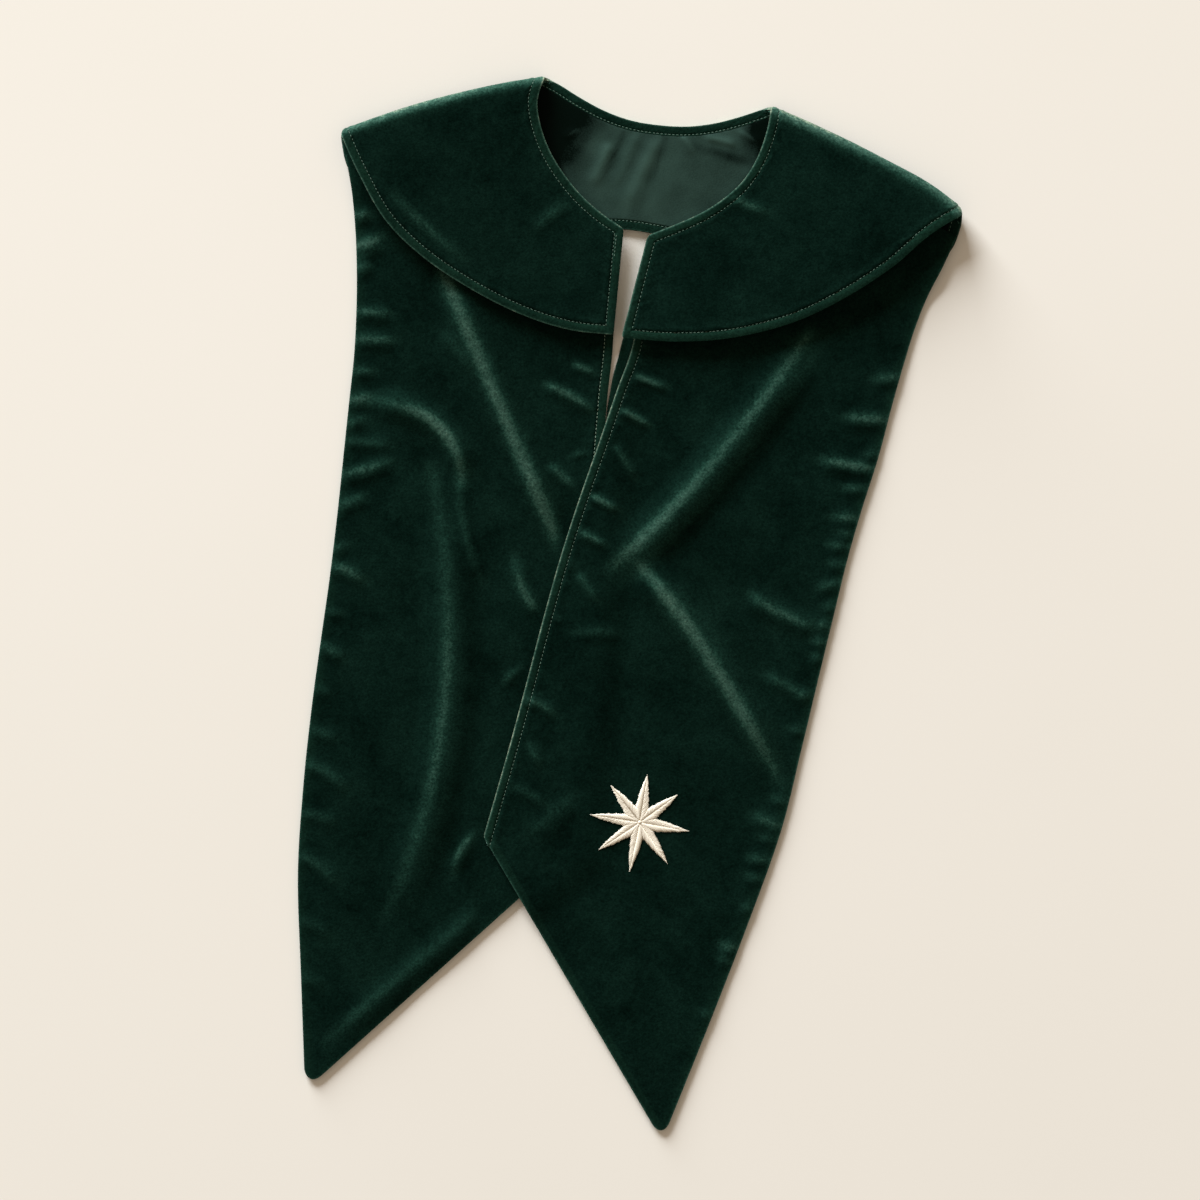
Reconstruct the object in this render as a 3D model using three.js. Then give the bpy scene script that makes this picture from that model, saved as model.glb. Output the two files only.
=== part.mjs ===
import * as THREE from "three";

// Regalia collar in velvet, lying flat as it is put away: a short cape collar folded over at both
// shoulders, with the neck opening between its front and its back, and two long pointed panels that
// hang from under its front. The right panel lies over the left one and carries a stitched star.
// Millimetres, +Z up, the surface it lies on at z = 0, +X to the wearer's left as seen from above
// and +Y towards the back of the neck. The origin is under the middle of the whole outline.

// Walls and clearances
const CAPE_WALL = 2.0; // velvet with its stiffening
const LINING_WALL = 1.0; // sateen, and the turned-in velvet edges beside it
const PANEL_WALL = 2.4; // velvet on both faces
const LAYER_GAP = 0.3; // air kept between two layers that touch
const PANEL_GAP = 0.5; // air between the two panels where they cross
const BAND = 6.0; // width of the stitched edge band
const DROP = 30; // length over which a panel comes down off the back's hem
const RIDE_DROP = 25; // the same for the right panel, off the left panel's edge
const DROP_START = 2; // how far past the back's hem a panel starts to come down
const RIDE_START = 5; // the same past the left panel's edge

// Shoulder folds. Each is a soft loop, seen from above as a line from the neck to the tip that
// bows outwards. Radii are half the height of the loop at either end.
const FOLDS = {
  left: {
    neck: [-59.5, 368.2],
    tip: [-203.4, 330.2],
    neckRadius: 6.8,
    tipRadius: 6.5,
    bow: 4.3,
    bowAt: 0.5,
  },
  right: {
    neck: [98.7, 347.6],
    tip: [235.6, 272.8],
    neckRadius: 6.6,
    tipRadius: 8.5,
    bow: 5.6,
    bowAt: 0.7,
  },
};
const BOW_REACH = 60; // how far in from the fold the bow dies out

// Cape sections from a shoulder fold to the front edge: the neckline end and the hem end of each,
// as [x, y, height of the velvet's face].
const LEFT_FRONT = [
  { neck: [-59.5, 368.2, 13.6], hem: [-203.4, 330.2, 13.0] },
  { neck: [-64.4, 350.0, 13.2], hem: [-190.0, 300.6, 12.6] },
  { neck: [-62.3, 333.0, 12.2], hem: [-171.0, 267.5, 11.6] },
  { neck: [-56.0, 316.0, 11.2], hem: [-144.5, 241.5, 10.8] },
  { neck: [-47.0, 301.0, 10.4], hem: [-111.0, 219.2, 10.2] },
  { neck: [-35.0, 286.0, 9.8], hem: [-76.0, 201.6, 9.6] },
  { neck: [-20.5, 272.8, 9.4], hem: [-42.5, 191.0, 9.4] },
  { neck: [-4.4, 261.6, 9.0], hem: [-11.5, 187.4, 9.0] },
];
const RIGHT_FRONT = [
  { neck: [98.7, 347.6, 13.2], hem: [235.6, 272.8, 17.0] },
  { neck: [95.4, 330.0, 13.0], hem: [208.0, 255.0, 16.4] },
  { neck: [89.0, 311.5, 12.4], hem: [182.5, 234.0, 15.2] },
  { neck: [79.3, 295.6, 11.8], hem: [150.0, 213.0, 13.8] },
  { neck: [66.5, 283.4, 11.2], hem: [113.5, 195.8, 12.6] },
  { neck: [50.5, 273.0, 10.6], hem: [72.0, 185.4, 11.6] },
  { neck: [32.0, 264.6, 10.1], hem: [33.0, 182.7, 10.6] },
  { neck: [12.2, 256.9, 9.6], hem: [-6.2, 185.3, 10.0] },
];
// Back sections from the left fold to the right one. The back lies on the surface.
const BACK = [
  { neck: [-59.5, 368.2, 0], hem: [-203.4, 330.2, 0] },
  { neck: [-48.0, 361.8, 0], hem: [-194.5, 300.0, 0] },
  { neck: [-33.6, 352.8, 0], hem: [-160.0, 275.0, 0] },
  { neck: [-17.0, 344.0, 0], hem: [-112.0, 262.6, 0] },
  { neck: [1.0, 337.6, 0], hem: [-60.0, 261.0, 0] },
  { neck: [20.0, 334.4, 0], hem: [-8.0, 261.8, 0] },
  { neck: [39.5, 333.4, 0], hem: [42.0, 253.4, 0] },
  { neck: [58.0, 335.4, 0], hem: [92.0, 242.6, 0] },
  { neck: [75.0, 339.6, 0], hem: [143.0, 237.6, 0] },
  { neck: [88.5, 344.0, 0], hem: [215.0, 239.5, 0] },
  { neck: [98.7, 347.6, 0], hem: [235.6, 272.8, 0] },
];

// Panel stations from the shoulder down: the end on the inner edge and the end on the outer edge.
// The last station is the slanted lower edge, from the inner corner to the tip.
const LEFT_PANEL = [
  { inner: [-70.0, 350.0], outer: [-199.0, 313.5] },
  { inner: [-67.0, 322.0], outer: [-194.6, 288.0] },
  { inner: [-54.0, 296.0], outer: [-192.2, 262.0] },
  { inner: [-32.0, 270.0], outer: [-191.2, 235.0] },
  { inner: [-13.0, 240.0], outer: [-191.4, 206.0] },
  { inner: [-11.0, 208.0], outer: [-193.0, 174.0] },
  { inner: [-12.3, 176.0], outer: [-196.3, 143.0] },
  { inner: [-15.6, 146.0], outer: [-200.0, 108.0] },
  { inner: [-18.6, 110.0], outer: [-204.6, 64.0] },
  { inner: [-22.0, 70.0], outer: [-210.0, 19.0] },
  { inner: [-25.5, 28.0], outer: [-216.5, -27.0] },
  { inner: [-29.0, -15.0], outer: [-223.0, -75.0] },
  { inner: [-32.3, -58.0], outer: [-228.6, -128.0] },
  { inner: [-35.3, -98.0], outer: [-232.4, -190.0] },
  { inner: [-38.0, -137.0], outer: [-230.2, -262.0] },
  { inner: [-40.0, -173.0], outer: [-227.4, -341.0] },
];
const RIGHT_PANEL = [
  { inner: [103.0, 328.0], outer: [228.6, 256.0] },
  { inner: [97.0, 306.0], outer: [218.5, 234.5] },
  { inner: [80.0, 285.0], outer: [208.0, 214.0] },
  { inner: [50.0, 264.0], outer: [199.3, 192.0] },
  { inner: [17.0, 240.0], outer: [191.5, 167.0] },
  { inner: [7.0, 208.0], outer: [183.3, 138.0] },
  { inner: [1.1, 177.5], outer: [173.5, 101.0] },
  { inner: [-9.5, 148.0], outer: [162.5, 66.5] },
  { inner: [-21.5, 113.0], outer: [152.0, 30.0] },
  { inner: [-35.5, 73.0], outer: [142.2, -10.0] },
  { inner: [-49.0, 31.0], outer: [131.5, -54.0] },
  { inner: [-61.0, -12.0], outer: [119.8, -103.0] },
  { inner: [-72.5, -56.0], outer: [105.5, -160.0] },
  { inner: [-83.5, -97.0], outer: [82.3, -225.0] },
  { inner: [-94.0, -134.0], outer: [54.0, -298.0] },
  { inner: [-102.5, -163.5], outer: [22.4, -376.4] },
];

// Folds in the panels: each is a soft ridge along a curve that is pulled towards its bend point.
const LEFT_RIDGES = [
  { from: [-130, 233], bend: [-98, 157], to: [-47, 39], halfWidth: 21, height: 4.6 },
  { from: [-190, 141], bend: [-120, 138], to: [-115, 84], halfWidth: 15, height: 3.4 },
  { from: [-137, 97], bend: [-100, -82], to: [-170, -228], halfWidth: 24, height: 4.2 },
  { from: [-89, -205], bend: [-146, -251], to: [-211, -308], halfWidth: 14, height: 2.2 },
  { from: [-80, 34], bend: [-78, 2], to: [-58, -9], halfWidth: 12, height: 1.6 },
];
const RIGHT_RIDGES = [
  { from: [129, 186], bend: [60, 83], to: [-13, 19], halfWidth: 23, height: 6.0 },
  { from: [6, 27], bend: [42, -6], to: [108, -127], halfWidth: 21, height: 5.0 },
  { from: [82, 7], bend: [103, -10], to: [136, -20], halfWidth: 13, height: 2.0 },
];
const RIDGE_STEPS = 24; // straight pieces in a ridge's curve
const RIDGE_TAPER = 0.22; // share of a ridge's length over which either end dies out
const TUCK = 14; // the left panel's folds die out over this as they go under the right one

// Rounded corners seen from above: where the two edges would meet, the headings of those edges
// away from it in degrees, and the radius. The cloth a little outside a corner goes with it.
const SHOULDER_CORNERS = [
  { at: [-203.4, 330.2], edges: [21, -73.6], radius: 6 },
  { at: [235.6, 272.8], edges: [139, 246], radius: 14 },
];
const FRONT_CORNERS = [
  { at: [-4.4, 261.6], edges: [144, 264.5], radius: 4 },
  { at: [12.2, 256.9], edges: [22, 255.6], radius: 7 },
];
const PANEL_CORNERS = [
  { at: [-227.4, -341.0], edges: [87.5, 41.9], radius: 7 },
  { at: [22.4, -376.4], edges: [68, 120.4], radius: 7 },
  { at: [-102.5, -163.5], edges: [73.9, -59.6], radius: 4 },
];

// Star on the right panel, of eight kite-shaped rays with a sunk vein down each
const STAR = {
  x: 6.7,
  y: -153.5,
  rays: 8,
  heading: 80.5, // of the first ray, in degrees
  reach: 34.3, // from the centre to a ray's tip
  valley: 11.2, // from the centre to where two rays meet
  edge: 0.5, // thickness at the tips
  crown: 0.8, // how much thicker the middle is
  gap: 0.7, // air under it, where the velvet's pile stands
};
const STAR_RINGS = 4;
const CROWN_BY_SPOKE = [0.35, 1, 0.15, 1]; // the spokes of one ray: vein, flank, valley, flank

// How finely the cloth is laid out
const FRONT_ROWS = 17;
const BACK_ROWS = 28;
const CAPE_COLUMNS = 6; // between the two bands
const PANEL_ROWS = 45;
const PANEL_COLUMNS = 14;
const LINING_REACH = 0.2; // how far round past a fold the lining goes, as a share of a front
const NORMAL_STEP = 1e-3; // share of a section over which the cloth's normal is taken
const CORNER_LIMIT = 1.3; // how far outside a corner cloth still goes with it, in corner lengths

const VELVET = { color: 0x0e2f24, roughness: 0.95, metalness: 0 };
const SATEEN = { color: 0x2d453c, roughness: 0.5, metalness: 0 };
const STAR_THREAD = { color: 0xe8dcc6, roughness: 0.55, metalness: 0 };

const mix = THREE.MathUtils.lerp;
const ease = (value) => THREE.MathUtils.smoothstep(value, 0, 1);

// A smooth line through one column of a table, read at 0 to 1 along the rows.
function rail(table, column) {
  const points = table.map((row) => {
    const [x, y, height] = row[column];
    return new THREE.Vector3(x, y, height ?? 0);
  });
  return new THREE.CatmullRomCurve3(points, false, "catmullrom", 0.5);
}

// The x of a table's column where it passes a given y, going straight between rows.
function columnX(table, column, y) {
  const points = table.map((row) => row[column]);
  const next = Math.max(1, points.findIndex((point) => point[1] <= y));
  const [a, b] = [points[next - 1], points[next]];
  return mix(a[0], b[0], (y - a[1]) / (b[1] - a[1]));
}

// Squeezes the cloth in each sharp corner towards it until its outline is an arc. Places are read
// as shares along the corner's two edges, and the square of those shares is squeezed into a disc.
function roundCorners(point, corners) {
  for (const { at, edges, radius } of corners) {
    const [first, second] = edges.map((degrees) => {
      const heading = THREE.MathUtils.degToRad(degrees);
      return new THREE.Vector2(Math.cos(heading), Math.sin(heading));
    });
    const reach = radius / Math.tan(Math.acos(first.dot(second)) / 2);
    const place = new THREE.Vector2(point.x - at[0], point.y - at[1]).divideScalar(reach);
    const turn = first.cross(second);
    const u = 1 - place.cross(second) / turn;
    const v = 1 - first.cross(place) / turn;
    if (Math.min(u, v) <= 0 || Math.max(u, v) >= CORNER_LIMIT) continue;
    const alongFirst = reach * (1 - u * Math.sqrt(1 - (v * v) / 2));
    const alongSecond = reach * (1 - v * Math.sqrt(1 - (u * u) / 2));
    point.x = at[0] + first.x * alongFirst + second.x * alongSecond;
    point.y = at[1] + first.y * alongFirst + second.y * alongSecond;
  }
  return point;
}

// How far a point lies in from a shoulder fold's straight line, and how far along it.
function fromFold(fold, point) {
  const start = new THREE.Vector2(...fold.neck);
  const along = new THREE.Vector2(...fold.tip).sub(start);
  const length = along.length();
  along.normalize();
  const reach = new THREE.Vector2(point.x, point.y).sub(start);
  const inward = new THREE.Vector2(along.y, -along.x);
  if (inward.y > 0) inward.negate();
  return { inward, depth: Math.max(0, reach.dot(inward)), share: reach.dot(along) / length };
}

// Moves a point out with the fold's bow.
function bowOut(fold, point, { inward, depth, share }) {
  const at = THREE.MathUtils.clamp(share, 0, 1);
  const side = at < fold.bowAt ? at / fold.bowAt : (1 - at) / (1 - fold.bowAt);
  const shift = fold.bow * side * (2 - side) * (1 - ease(depth / BOW_REACH));
  point.x -= inward.x * shift;
  point.y -= inward.y * shift;
}

const capeRails = {
  left: { neck: rail(LEFT_FRONT, "neck"), hem: rail(LEFT_FRONT, "hem") },
  back: { neck: rail(BACK, "neck"), hem: rail(BACK, "hem") },
  right: { neck: rail(RIGHT_FRONT, "neck"), hem: rail(RIGHT_FRONT, "hem") },
};

// Round the cape: 0 is the left front edge, 1 the left fold, 2 the right fold, 3 the right front
// edge. Rows crowd towards a fold, so that its loop comes out round.
function capeSection(around) {
  const isBack = around > 1 && around < 2;
  const side = isBack ? "back" : around <= 1 ? "left" : "right";
  const away = side === "left" ? 1 - around : around - 2;
  const share = isBack ? (1 - Math.cos(Math.PI * (around - 1))) / 2 : 1 - Math.cos((Math.PI / 2) * away);
  const neck = capeRails[side].neck.getPoint(share);
  const hem = capeRails[side].hem.getPoint(share);
  return { isBack, folds: isBack ? ["left", "right"] : [side], neck, hem, length: neck.distanceTo(hem) };
}

// The outer face of the cape's velvet: `around` as above, `down` from 0 at the neck to 1 at the hem.
function capeFace(around, down) {
  const section = capeSection(around);
  const point = section.neck.clone().lerp(section.hem, down);
  for (const name of section.folds) {
    const fold = FOLDS[name];
    const reach = fromFold(fold, point);
    const radius = mix(fold.neckRadius, fold.tipRadius, down);
    const inside = Math.max(0, radius - reach.depth);
    const round = Math.sqrt(radius * radius - inside * inside);
    if (section.isBack) point.z += radius - round;
    else point.z = radius + (point.z - radius) * (round / radius);
    bowOut(fold, point, reach);
  }
  return roundCorners(point, section.isBack ? SHOULDER_CORNERS : [...FRONT_CORNERS, ...SHOULDER_CORNERS]);
}

// The cape's face moved inwards by a depth, along the face's own normal.
function capeLayer(around, down, depth) {
  const low = Math.max(0, around - NORMAL_STEP);
  const high = Math.min(3, around + NORMAL_STEP);
  const acrossLow = Math.max(0, down - NORMAL_STEP);
  const acrossHigh = Math.min(1, down + NORMAL_STEP);
  const along = capeFace(high, down).sub(capeFace(low, down));
  const across = capeFace(around, acrossHigh).sub(capeFace(around, acrossLow));
  return capeFace(around, down).addScaledVector(along.cross(across).normalize(), -depth);
}

// A closed cloth wall between two grids of points, whose outer grid's normals point out.
function wallGeometry(outer, inner) {
  const positions = [];
  const rows = outer.length - 1;
  const columns = outer[0].length - 1;
  const quad = (...corners) => {
    for (const corner of [0, 1, 2, 0, 2, 3]) positions.push(...corners[corner].toArray());
  };
  for (let i = 0; i < rows; i++) {
    for (let j = 0; j < columns; j++) {
      quad(outer[i][j], outer[i + 1][j], outer[i + 1][j + 1], outer[i][j + 1]);
      quad(inner[i][j], inner[i][j + 1], inner[i + 1][j + 1], inner[i + 1][j]);
    }
    quad(outer[i + 1][0], outer[i][0], inner[i][0], inner[i + 1][0]);
    quad(outer[i][columns], outer[i + 1][columns], inner[i + 1][columns], inner[i][columns]);
  }
  for (let j = 0; j < columns; j++) {
    quad(outer[0][j], outer[0][j + 1], inner[0][j + 1], inner[0][j]);
    quad(outer[rows][j + 1], outer[rows][j], inner[rows][j], inner[rows][j + 1]);
  }
  const geometry = new THREE.BufferGeometry();
  geometry.setAttribute("position", new THREE.Float32BufferAttribute(positions, 3));
  geometry.computeVertexNormals();
  return geometry;
}

function namedMesh(name, geometry, finish) {
  const mesh = new THREE.Mesh(geometry, new THREE.MeshStandardMaterial(finish));
  mesh.name = name;
  return mesh;
}

// A layer of the cape between two stretches round it. `columnsAt` gives the places down each
// section, and the layer lies between two depths under the velvet's face.
function capePiece(name, finish, arounds, columnsAt, shallow, deep) {
  const grid = (depth) =>
    arounds.map((around) => {
      const columns = columnsAt(capeSection(around).length);
      return columns.map((down) => capeLayer(around, down, depth));
    });
  return namedMesh(name, wallGeometry(grid(shallow), grid(deep)), finish);
}

const steps = (start, end, count) => Array.from({ length: count + 1 }, (_, k) => mix(start, end, k / count));

const capeArounds = [
  ...steps(0, 1, FRONT_ROWS),
  ...steps(1, 2, BACK_ROWS).slice(1),
  ...steps(2, 3, FRONT_ROWS).slice(1),
];

function capeCollar() {
  const columns = (length) => [0, ...steps(BAND / length, 1 - BAND / length, CAPE_COLUMNS), 1];
  return capePiece("cape_collar", VELVET, capeArounds, columns, 0, CAPE_WALL);
}

const insideDepth = CAPE_WALL + LAYER_GAP;
const liningArounds = capeArounds.filter((at) => at > 1 - LINING_REACH && at < 2 + LINING_REACH);

function collarLining() {
  const columns = (length) => {
    const margin = (BAND + LAYER_GAP) / length;
    return [margin, ...steps(BAND / length, 1 - BAND / length, CAPE_COLUMNS).slice(1, -1), 1 - margin];
  };
  return capePiece("collar_lining", SATEEN, liningArounds, columns, insideDepth, insideDepth + LINING_WALL);
}

// The velvet edge turned in along the back, at the neckline or at the hem.
function turnedEdge(name, atNeck) {
  const columns = (length) => (atNeck ? [0, BAND / length] : [1 - BAND / length, 1]);
  return capePiece(name, VELVET, liningArounds, columns, insideDepth, insideDepth + LINING_WALL);
}

// Height of a soft ridge over a place, from its distance to the ridge's curve.
function ridgeHeight(ridge, x, y) {
  const [from, bend, to] = [ridge.from, ridge.bend, ridge.to].map((point) => new THREE.Vector2(...point));
  const line = new THREE.QuadraticBezierCurve(from, bend, to).getPoints(RIDGE_STEPS);
  const { distance, share } = nearestOn(line, x, y);
  if (distance > ridge.halfWidth) return 0;
  const taper = ease(Math.min(share, 1 - share) / RIDGE_TAPER);
  return ridge.height * taper * (1 + Math.cos((Math.PI * distance) / ridge.halfWidth)) * 0.5;
}

const ridgesOver = (ridges, x, y) => ridges.reduce((height, ridge) => height + ridgeHeight(ridge, x, y), 0);

// The nearest place on a line through points: its distance and its share of the line's pieces.
function nearestOn(points, x, y) {
  const place = new THREE.Vector2(x, y);
  let nearest = { distance: Infinity, share: 0 };
  for (let k = 1; k < points.length; k++) {
    const start = points[k - 1].clone();
    const span = points[k].clone().sub(start);
    const at = THREE.MathUtils.clamp(place.clone().sub(start).dot(span) / span.lengthSq(), 0, 1);
    const distance = place.distanceTo(start.addScaledVector(span, at));
    const share = (k - 1 + at) / (points.length - 1);
    if (distance < nearest.distance) nearest = { distance, share, k };
  }
  return nearest;
}

const backHem = BACK.map(({ hem }) => new THREE.Vector2(hem[0], hem[1]));

// Height of the cape's back and its lining under a panel, coming down past the back hem.
function overBack(x, y) {
  const { distance, k } = nearestOn(backHem, x, y);
  const span = backHem[k].clone().sub(backHem[k - 1]);
  const isPast = span.cross(new THREE.Vector2(x, y).sub(backHem[k - 1])) < 0;
  const height = insideDepth + LINING_WALL + LAYER_GAP;
  return isPast ? height * ease(1 - (distance - DROP_START) / DROP) : height;
}

function leftPanelUnderside(x, y) {
  const toRightPanel = columnX(RIGHT_PANEL, "inner", y) - x;
  const showing = ease(toRightPanel / TUCK);
  return overBack(x, y) + showing * ridgesOver(LEFT_RIDGES, x, y);
}

// How far a place lies outside the left panel, past its inner edge or its slanted lower edge.
function pastLeftPanel(x, y) {
  const { inner: corner, outer: tip } = LEFT_PANEL[LEFT_PANEL.length - 1];
  const slant = new THREE.Vector2(corner[0] - tip[0], corner[1] - tip[1]).normalize();
  const pastSlant = (x - tip[0]) * slant.y - (y - tip[1]) * slant.x;
  const pastInner = x - columnX(LEFT_PANEL, "inner", Math.max(y, corner[1]));
  return Math.max(pastSlant, pastInner);
}

function rightPanelUnderside(x, y) {
  const ride = (PANEL_WALL + PANEL_GAP) * ease(1 - (pastLeftPanel(x, y) - RIDE_START) / RIDE_DROP);
  return Math.max(ride, overBack(x, y)) + ridgesOver(RIGHT_RIDGES, x, y);
}

// A panel: stations laid straight across between its two edges, at the height of its underside.
function panel(name, table, firstEdge, lastEdge, underside) {
  const first = rail(table, firstEdge);
  const last = rail(table, lastEdge);
  const grid = (lift) =>
    steps(0, 1, PANEL_ROWS).map((along) => {
      const [start, end] = [first.getPoint(along), last.getPoint(along)];
      return steps(0, 1, PANEL_COLUMNS).map((across) => {
        const point = roundCorners(start.clone().lerp(end, across), PANEL_CORNERS);
        point.z = underside(point.x, point.y) + lift;
        return point;
      });
    });
  return namedMesh(name, wallGeometry(grid(PANEL_WALL), grid(0)), VELVET);
}

// The star, laid out in spokes: each ray has a vein, two crowned flanks and a valley on each side.
function embroideredStar() {
  const spokes = STAR.rays * CROWN_BY_SPOKE.length;
  const rayAngle = (2 * Math.PI) / STAR.rays;
  const tip = new THREE.Vector2(STAR.reach, 0);
  const valley = new THREE.Vector2(Math.cos(rayAngle / 2), Math.sin(rayAngle / 2));
  valley.multiplyScalar(STAR.valley);
  const outlineAt = (spoke) => {
    const turn = (spoke / spokes) * 2 * Math.PI;
    const offAxis = Math.abs(((turn + rayAngle / 2) % rayAngle) - rayAngle / 2);
    const edge = valley.clone().sub(tip);
    return tip.cross(valley) / (Math.cos(offAxis) * edge.y - Math.sin(offAxis) * edge.x);
  };
  const place = (spoke, ring, isTop) => {
    const share = ring / STAR_RINGS;
    const angle = THREE.MathUtils.degToRad(STAR.heading) + (spoke / spokes) * 2 * Math.PI;
    const radius = outlineAt(spoke) * share;
    const x = STAR.x + radius * Math.cos(angle);
    const y = STAR.y + radius * Math.sin(angle);
    const spokeCrown = STAR.crown * CROWN_BY_SPOKE[spoke % CROWN_BY_SPOKE.length];
    const thickness = STAR.edge + spokeCrown * Math.sqrt(1 - share);
    const base = rightPanelUnderside(x, y) + PANEL_WALL + STAR.gap;
    return new THREE.Vector3(x, y, base + (isTop ? thickness : 0));
  };
  const positions = [];
  const face = (...corners) => corners.forEach((corner) => positions.push(...corner.toArray()));
  const quad = (a, b, c, d) => {
    face(a, b, c);
    face(a, c, d);
  };
  const hub = [true, false].map((isTop) => place(0, 0, isTop));
  for (let spoke = 0; spoke < spokes; spoke++) {
    const next = (spoke + 1) % spokes;
    const here = (ring, isTop) => place(spoke, ring, isTop);
    const beside = (ring, isTop) => place(next, ring, isTop);
    face(hub[0], here(1, true), beside(1, true));
    face(hub[1], beside(1, false), here(1, false));
    for (let ring = 1; ring < STAR_RINGS; ring++) {
      quad(here(ring, true), here(ring + 1, true), beside(ring + 1, true), beside(ring, true));
      quad(beside(ring, false), beside(ring + 1, false), here(ring + 1, false), here(ring, false));
    }
    const rim = STAR_RINGS;
    quad(here(rim, false), beside(rim, false), beside(rim, true), here(rim, true));
  }
  const geometry = new THREE.BufferGeometry();
  geometry.setAttribute("position", new THREE.Float32BufferAttribute(positions, 3));
  geometry.computeVertexNormals();
  return namedMesh("embroidered_star", geometry, STAR_THREAD);
}

const collar = new THREE.Group();
collar.add(
  capeCollar(),
  collarLining(),
  turnedEdge("neck_facing", true),
  turnedEdge("hem_facing", false),
  panel("left_panel", LEFT_PANEL, "outer", "inner", leftPanelUnderside),
  panel("right_panel", RIGHT_PANEL, "inner", "outer", rightPanelUnderside),
  embroideredStar(),
);

export default collar;
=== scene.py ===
# %% [markdown]
# # A velvet regalia collar, laid flat
#
# The real thing is a short cape collar of stiffened velvet, folded over at both shoulders as it is
# put away, with two long pointed panels under its front and a satin-stitched star on one of them.
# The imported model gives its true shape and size. This lesson dresses it: every cloth is rebuilt as
# a fine sheet in the same place, with its folds, stitched edges, puckers and pile.

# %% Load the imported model
import math

import bpy
import numpy as np
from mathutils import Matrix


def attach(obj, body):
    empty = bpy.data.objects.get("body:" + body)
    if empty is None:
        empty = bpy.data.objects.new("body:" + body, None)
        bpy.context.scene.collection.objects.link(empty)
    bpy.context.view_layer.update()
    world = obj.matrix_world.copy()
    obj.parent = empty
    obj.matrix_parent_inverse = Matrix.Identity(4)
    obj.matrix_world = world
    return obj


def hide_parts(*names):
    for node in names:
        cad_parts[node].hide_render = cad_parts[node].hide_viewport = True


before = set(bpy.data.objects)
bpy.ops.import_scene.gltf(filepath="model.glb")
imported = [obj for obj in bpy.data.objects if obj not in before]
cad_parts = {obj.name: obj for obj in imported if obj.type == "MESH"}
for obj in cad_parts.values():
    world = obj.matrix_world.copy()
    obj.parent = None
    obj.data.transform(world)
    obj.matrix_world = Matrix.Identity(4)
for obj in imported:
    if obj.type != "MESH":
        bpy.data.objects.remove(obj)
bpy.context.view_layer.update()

print("solids:", sorted(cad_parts))

# %% [markdown]
# ## The pattern of the collar
#
# A pattern cutter works with a few curves: where the neckline and hem run, and where each fold
# lies. The solids were made from such tables, so the same tables, in millimetres, make the sheets.
# That way a sheet can be as fine as it needs to be and still lies exactly where its solid lies.

# %% Walls, gaps and seams, in millimetres
MM = 0.001
CAPE_WALL = 2.0
LINING_WALL = 1.0
PANEL_WALL = 2.4
LAYER_GAP = 0.3
PANEL_GAP = 0.5
BAND = 6.0  # from an edge to its stitches
DROP = 30.0  # over which a panel comes down off the back's hem
DROP_START = 2.0
RIDE_DROP = 25.0  # over which the right panel comes down off the left one
RIDE_START = 5.0
INSIDE_DEPTH = CAPE_WALL + LAYER_GAP  # from the velvet's face to the lining's near side
BACK_HEIGHT = INSIDE_DEPTH + LINING_WALL + LAYER_GAP
print("height of the lined back, where the panels lie on it:", round(BACK_HEIGHT, 2), "mm")

# %% Shoulder folds: a line from neck to tip, the loop's radii, and how far it bows out
FOLDS = {
    "left": dict(
        neck=(-59.5, 368.2), tip=(-203.4, 330.2),
        neck_radius=6.8, tip_radius=6.5, bow=4.3, bow_at=0.5,
    ),
    "right": dict(
        neck=(98.7, 347.6), tip=(235.6, 272.8),
        neck_radius=6.6, tip_radius=8.5, bow=5.6, bow_at=0.7,
    ),
}
BOW_REACH = 60.0  # how far in from a fold its bow fades out
for name, fold in FOLDS.items():
    print(name, "shoulder fold:", round(math.dist(fold["neck"], fold["tip"]), 1), "mm long")

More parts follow.
